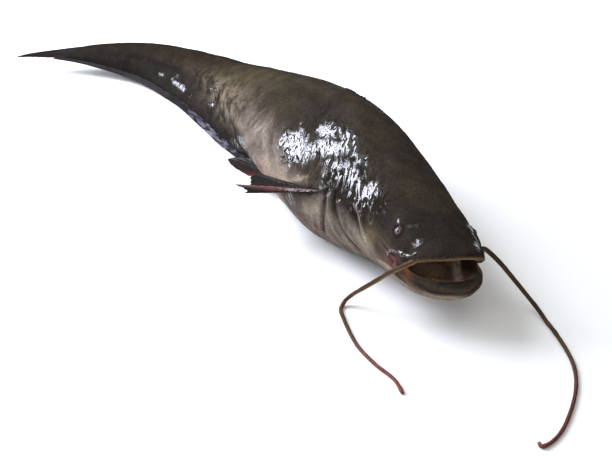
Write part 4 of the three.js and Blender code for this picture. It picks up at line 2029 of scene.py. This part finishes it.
@dataclass(frozen=True)
class SkinFinish:
    """Dark scaleless skin, olive on the flank, pale and mottled on belly and throat."""

    back: Colour = srgb(52, 46, 42)
    dusk: Colour = srgb(58, 51, 43)
    # painted shade for temple, saddle, snout and tail end, and for the darker soaked skin
    shade_and_soaked: Colour = srgb(27, 24, 21)
    olive: Colour = srgb(64, 57, 40)
    tail: Colour = srgb(34, 28, 21)
    belly: Colour = srgb(123, 111, 103)
    belly_dark: Colour = srgb(68, 59, 51)
    low: Colour = srgb(32, 29, 28)
    tan: Colour = srgb(112, 99, 74)
    spot: Colour = srgb(116, 104, 88)
    rose: Colour = srgb(96, 44, 46)
    lip: Colour = srgb(132, 110, 74)
    mouth: Colour = srgb(124, 102, 86)
    mouth_deep: Colour = srgb(146, 127, 110)
    # painted shade on the far left inside the mouth
    mouth_shade: Colour = srgb(54, 42, 36)
    jaw: Colour = srgb(82, 68, 60)
    jaw_pale: Colour = srgb(152, 136, 120)
    # a painted highlight: the pale band in the mouth
    ridge: Colour = srgb(226, 204, 192)
    rust: Colour = srgb(136, 92, 62)
    # painted shade for creases, furrows and eye sockets
    crease: Colour = srgb(26, 22, 21)
    # pale folds, painted highlights on ridges and painted light on belly and throat
    fold: Colour = srgb(142, 130, 112)
    wet: Wetness = Wetness()

    def material(self, film: NodeTree, pigment: NodeTree) -> Material:
        """Makes the material.

        Args:
            film: the water film group.
            pigment: the pigment group.

        Returns:
            The material.
        """
        made, board = blank_material("wet_skin")
        straight, wrap = board.vector("straight"), board.vector("wrap")
        clouds = board.noise(straight, 16, 3.0, 0.55, 0.5)
        streaks = board.noise(board.stretch(wrap, (36, 22, 30)), 1.0, 4.5, 0.62, 1.0)
        colour = self.ground(board, clouds, streaks)
        colour = self.marked(board, colour, clouds, streaks)
        colour = board.speckled(pigment, colour, straight, 0.7)
        colour = board.mix(colour, self.lining(board, straight), board.number("mouth"))
        colour = board.tint(colour, self.rust, "rust", 0.8)
        colour = board.tint(colour, self.lip, "lip", 0.9)
        wet, wrinkle = board.number("wet"), board.number("wrinkle")
        self.wet.shade(board, colour, board.vector("film"), film, wet, wrinkle)
        return made

    @staticmethod
    def blend(board: NodeBoard, streaks: Value) -> Value:
        """The streaks as a value about 0, where the mesh is marked as streaky."""
        return board.times(board.maths("SUBTRACT", streaks, 0.48), board.number("streak"))

    def ground(self, board: NodeBoard, clouds: Value, streaks: Value) -> Value:
        """The colours of back, tail and belly, with painted shade laid over them.

        Args:
            board: the material's board.
            clouds: large soft clouds, 0 to 1.
            streaks: the skin's streaks, 0 to 1.

        Returns:
            The colour's socket.
        """
        colour = board.mix(self.back, self.dusk, board.ranged(clouds, 0.38, 0.68))
        colour = board.tint(colour, self.tail, "aft", 0.9)
        blotch = board.noise(board.vector("straight"), 30, 3, 0.6, 0.6)
        olive = board.times(board.number("olive"), board.ranged(blotch, 0.3, 0.7, 0.35, 1.0))
        colour = board.mix(colour, self.olive, board.times(olive, 0.6))
        blend = self.blend(board, streaks)
        belly = board.mix(self.belly_dark, self.belly, board.ranged(blend, -0.13, 0.09, 0.1, 1.0))
        pale = board.number("pale")
        shift = board.times(board.times(blend, 1.1), board.ranged(pale, 0.0, 0.4))
        colour = board.tint(colour, self.low, "low", 0.75)
        colour = board.mix(colour, belly, board.ranged(board.plus(pale, shift), 0.05, 1.0))
        # painted shade on temple, saddle, snout and tail end, and on the soaked skin
        return board.tint(colour, self.shade_and_soaked, "dark", 0.7)

    def marked(self, board: NodeBoard, colour: Value, clouds: Value, streaks: Value) -> Value:
        """Lays spots, cheek, flushes, painted shade in creases, and pale folds and painted highlights
        over the colour.

        Args:
            board: the material's board.
            colour: the colour below.
            clouds: large soft clouds, 0 to 1.
            streaks: the skin's streaks, 0 to 1.

        Returns:
            The colour's socket.
        """
        spots = board.noise(board.stretch(board.vector("straight"), (44, 60, 60)), 1, 4, 0.6, 0.3)
        spots = board.times(board.ranged(spots, 0.38, 0.62), board.number("mottle"))
        colour = board.mix(colour, self.spot, board.times(spots, 0.85))
        patch = board.times(board.number("cheek"), board.ranged(clouds, 0.3, 0.6, 0.5, 1.0))
        colour = board.mix(colour, self.tan, board.times(patch, 0.8))
        blend = self.blend(board, streaks)
        band = board.plus(board.number("chin"), board.times(blend, 1.2))
        jaw = board.mix(self.jaw, self.jaw_pale, board.ranged(band, 0.05, 0.85))
        colour = board.tint(colour, jaw, "jaw", 0.8)
        flush = board.times(board.number("flush"), board.ranged(streaks, 0.3, 0.6, 0.5, 1.0))
        colour = board.mix(colour, self.rose, flush)
        # painted shade in creases, furrows and eye sockets
        colour = board.tint(colour, self.crease, "crease", 0.85)
        # pale folds and jaw lines, painted highlights on ridges and painted light on belly and throat
        return board.tint(colour, self.fold, "glow", 0.7)

    def lining(self, board: NodeBoard, straight: Value) -> Value:
        """The mouth's lining: paler inwards, with painted shade on the left and a pale band of
        painted highlight.

        Args:
            board: the material's board.
            straight: the straight place.

        Returns:
            The colour's socket.
        """
        along, side, _ = board.parts(straight)
        mouth = board.mix(self.mouth, self.mouth_deep, board.ranged(along, 0.02, 0.085))
        # painted shade on the mouth's far left side
        mouth = board.mix(mouth, self.mouth_shade, board.ranged(side, -0.026, -0.036, 0.0, 0.8))
        # the pale band, a painted highlight
        return board.mix(mouth, self.ridge, board.number("ridge"))


@dataclass(frozen=True)
class FinFinish:
    """Dark fin membrane over paler rays, flushed red along some edges, with a painted sheen on slime.
    """

    membrane: Colour = srgb(33, 29, 29)
    ray: Colour = srgb(42, 37, 36)
    root: Colour = srgb(44, 40, 40)
    spine: Colour = srgb(90, 62, 54)
    # a pale painted sheen on the slime
    slime: Colour = srgb(108, 106, 117)
    rose: Colour = srgb(112, 46, 48)
    wet: Wetness = Wetness(wrinkle=0.4, relief=0.0006)

    def material(self, film: NodeTree, pigment: NodeTree) -> Material:
        """Makes the material.

        Args:
            film: the water film group.
            pigment: the pigment group.

        Returns:
            The material.
        """
        made, board = blank_material("wet_fin")
        straight = board.vector("straight")
        number, out, _ = board.parts(board.vector("ray"))
        wave = board.maths("COSINE", board.times(number, 2 * math.pi))
        colour = board.mix(self.membrane, self.ray, board.ranged(wave, -0.2, 1.0, 0.0, 0.5))
        colour = board.mix(self.root, colour, board.ranged(out, 0.05, 0.6))
        colour = board.tint(colour, self.spine, "spine", 0.9)
        # a pale painted sheen streaked over the slimy front of the anal fin
        streaks = board.noise(board.stretch(straight, (36, 90, 150)), 1.0, 3.0, 0.6, 0.8)
        slime = board.times(board.ranged(streaks, 0.44, 0.6), board.number("slime"))
        colour = board.mix(colour, self.slime, slime)
        colour = board.mix(colour, self.rose, board.number("flush"))
        colour = board.speckled(pigment, colour, straight, 0.6)
        self.wet.shade(board, colour, straight, film, board.number("wet"))
        return made


@dataclass(frozen=True)
class WhiskerFinish:
    """Olive-brown above, tan below, and reddish towards the tip."""

    above: Colour = srgb(66, 53, 41)
    below: Colour = srgb(132, 102, 68)
    rose: Colour = srgb(116, 62, 60)
    wet: Wetness = Wetness(wrinkle=0.4, relief=0.0002, wet=0.06)

    def material(self, film: NodeTree, pigment: NodeTree) -> Material:
        """Makes the material.

        Args:
            film: the water film group.
            pigment: the pigment group.

        Returns:
            The material.
        """
        made, board = blank_material("wet_whisker")
        _, turn, _ = board.parts(board.vector("course"))
        colour = board.mix(self.below, self.above, board.ranged(turn, -0.6, 0.2))
        colour = board.tint(colour, self.rose, "flush", 0.75)
        place = board.node("ShaderNodeTexCoord").outputs["Object"]
        colour = board.speckled(pigment, colour, place, 0.8)
        self.wet.shade(board, colour, place, film)
        return made


@dataclass(frozen=True)
class MouthFinish:
    """Wet reddish-brown lining of the mouth."""

    name: str
    flesh: Colour
    dark_flesh: Colour
    grain: float
    # the pale band, a painted highlight
    ridge: Colour = srgb(226, 204, 192)
    wet: Wetness = Wetness(wrinkle=0.5, relief=0.0003)

    def material(self, film: NodeTree, pigment: NodeTree) -> Material:
        """Makes the material.

        Args:
            film: the water film group.
            pigment: the pigment group.

        Returns:
            The material.
        """
        made, board = blank_material(self.name)
        straight = board.vector("straight")
        patches = board.noise(straight, self.grain, 3.0, 0.6)
        colour = board.mix(self.dark_flesh, self.flesh, board.ranged(patches, 0.35, 0.65))
        # the pale band, a painted highlight
        colour = board.mix(colour, self.ridge, board.number("ridge"))
        colour = board.speckled(pigment, colour, straight, 0.6)
        self.wet.shade(board, colour, straight, film)
        return made


TONGUE_FLESH = MouthFinish("tongue_flesh", srgb(138, 114, 96), srgb(114, 94, 78), 40)
TOOTH_BAND = MouthFinish("tooth_band", srgb(120, 94, 62), srgb(78, 56, 40), 300)


@dataclass(frozen=True)
class EyeFinish:
    """A pinkish-beige iris, an upright dark pupil and a grey surround under a clear dome."""

    pupil: Colour = srgb(14, 12, 12)
    inner: Colour = srgb(160, 130, 116)
    iris: Colour = srgb(128, 104, 98)
    surround: Colour = srgb(66, 58, 62)
    roughness: float = 0.35
    specular: float = 0.1
    coat: float = 0.7
    coat_roughness: float = 0.02
    speck_size: float = 0.004
    slit: float = 0.6  # how much narrower the pupil is than high

    def material(self, pigment: NodeTree) -> Material:
        """Makes the material.

        Args:
            pigment: the pigment group.

        Returns:
            The material.
        """
        made, board = blank_material("wet_eye")
        iris = board.vector("iris")
        across, high, _ = board.parts(iris)
        slit = board.length(across, board.times(high, self.slit))
        disc = board.length(across, high)
        colour = board.mix(self.inner, self.iris, board.ranged(disc, 0.2, 0.36))
        colour = board.mix(colour, self.surround, board.ranged(disc, 0.34, 0.52))
        colour = board.speckled(pigment, colour, board.stretch(iris, [self.speck_size] * 3), 0.8)
        colour = board.mix(self.pupil, colour, board.ranged(slit, 0.16, 0.22))
        shader = board.node("ShaderNodeBsdfPrincipled")
        board.feed(shader.inputs["Base Color"], colour)
        shader.inputs["Roughness"].default_value = self.roughness
        shader.inputs["Specular IOR Level"].default_value = self.specular
        shader.inputs["Coat Weight"].default_value = self.coat
        shader.inputs["Coat Roughness"].default_value = self.coat_roughness
        board.surface(shader)
        return made


# ---- Studio ----


def direction(azimuth: float, elevation: float) -> Vector:
    """A unit vector from an azimuth and an elevation in degrees."""
    turn, rise = math.radians(azimuth), math.radians(elevation)
    return Vector((math.cos(turn) * math.cos(rise), math.sin(turn) * math.cos(rise), math.sin(rise)))


@dataclass(frozen=True)
class Softbox:
    """An area light at a direction and distance from a target, facing it."""

    name: str
    azimuth: float
    elevation: float
    distance: float
    width: float
    height: float
    power: float
    colour: Triple = (1, 1, 1)
    target: Triple = (0, 0, 0.06)

    def build(self) -> None:
        """Places the light."""
        data = bpy.data.lights.new(self.name, "AREA")
        data.shape, data.size, data.size_y = "RECTANGLE", self.width, self.height
        data.energy, data.color = self.power, self.colour
        lamp = bpy.data.objects.new(self.name, data)
        bpy.context.scene.collection.objects.link(lamp)
        away = direction(self.azimuth, self.elevation)
        lamp.location = Vector(self.target) + away * self.distance
        lamp.rotation_euler = away.to_track_quat("Z", "Y").to_euler()


@dataclass(frozen=True)
class Studio:
    """The camera, a plain pale floor and soft light."""

    eye: Triple = (0.9077, -0.9169, 0.7938)
    azimuth: float = 46.146  # the camera's, turned from the fish's right side towards its head
    elevation: float = 32.853
    lens: float = 67.92
    sensor: float = 36
    near: float = 0.01
    far: float = 50
    floor_size: float = 12
    floor_colour: Colour = srgb(238, 238, 236)
    floor_roughness: float = 0.85
    sky: Colour = (0.9, 0.95, 1.0, 1)
    sky_strength: float = 0.12
    softboxes: tuple[Softbox, ...] = (
        Softbox("window", -148, 24, 1.7, 1.0, 1.05, 42, (0.84, 0.88, 1.0)),
        Softbox("skylight", -160, 50, 1.7, 1.2, 0.7, 34, (0.84, 0.88, 1.0)),
        Softbox("overhead", -60, 80, 2.6, 4.4, 4.4, 50, (1.0, 0.99, 0.97)),
        Softbox("front", -40, 20, 2.8, 2.4, 1.4, 8, (1.0, 0.98, 0.95)),
        Softbox("fill", 120, 35, 2.8, 2.4, 1.6, 14, (1.0, 0.98, 0.95)),
    )

    def build(self) -> None:
        """Makes the camera, the floor and the lights."""
        self.camera()
        self.floor()
        for softbox in self.softboxes:
            softbox.build()
        self.world()

    def camera(self) -> None:
        """Places the camera and makes it the scene's."""
        camera = bpy.data.cameras.new("camera")
        camera.lens, camera.sensor_width, camera.sensor_fit = self.lens, self.sensor, "HORIZONTAL"
        camera.clip_start, camera.clip_end = self.near, self.far
        holder = bpy.data.objects.new("camera", camera)
        bpy.context.scene.collection.objects.link(holder)
        look = direction(self.azimuth + 90, -self.elevation)
        holder.location = self.eye
        holder.rotation_euler = look.to_track_quat("-Z", "Y").to_euler()
        bpy.context.scene.camera = holder

    def floor(self) -> None:
        """Lays the floor just under the fish."""
        bm = bmesh.new()
        bmesh.ops.create_grid(bm, x_segments=1, y_segments=1, size=self.floor_size / 2)
        mesh = as_mesh(bm, "floor")
        material, board = blank_material("pale_floor")
        place = board.node("ShaderNodeTexCoord").outputs["Object"]
        tone = board.ranged(board.noise(place, 3.0, 2.0), 0.3, 0.7, 0.985, 1.0)
        shader = board.node("ShaderNodeBsdfPrincipled", {"Roughness": self.floor_roughness})
        board.feed(shader.inputs["Base Color"], board.scaled(self.floor_colour[:3], tone))
        board.surface(shader)
        mesh.materials.append(material)
        floor = bpy.data.objects.new("floor", mesh)
        bpy.context.scene.collection.objects.link(floor)

    def world(self) -> None:
        """Lights the surroundings faintly and keeps the colours plain."""
        world = bpy.data.worlds.new("studio")
        world.use_nodes = True
        background = world.node_tree.nodes["Background"]
        background.inputs["Color"].default_value = self.sky
        background.inputs["Strength"].default_value = self.sky_strength
        bpy.context.scene.world = world
        bpy.context.scene.view_settings.view_transform = "Standard"


# ---- Building ----


def main() -> None:
    """Builds the fish and the studio in order, and reports each piece."""
    logging.basicConfig(level=logging.INFO, format="%(message)s")
    posture, shape = Posture(), BodyShape()
    film, pigment = water_film_group(), speckle_group()
    skin = SkinFinish().material(film, pigment)
    fin_skin = FinFinish().material(film, pigment)
    whisker_skin = WhiskerFinish().material(film, pigment)
    flesh = TONGUE_FLESH.material(film, pigment)
    teeth = TOOTH_BAND.material(film, pigment)
    eye_gloss = EyeFinish().material(pigment)
    whiskers = long_whiskers(posture) + chin_whiskers(posture, shape)
    pieces = [Trunk(posture, shape, Gape()).build(skin)]
    pieces += [fin.build(posture, fin_skin) for fin in FINS]
    pieces += [whisker.build(whisker_skin) for whisker in whiskers]
    pieces += [Eye(side).build(posture, shape, eye_gloss) for side in Side]
    pieces.append(Tongue().build(posture, flesh))
    pieces += [pad.build(posture, teeth) for pad in tooth_pads(shape)]
    for piece in pieces:
        piece.data.calc_loop_triangles()
        log.info("%s: %d triangles", piece.name, len(piece.data.loop_triangles))
    Studio().build()


if __name__ == "__main__":
    main()
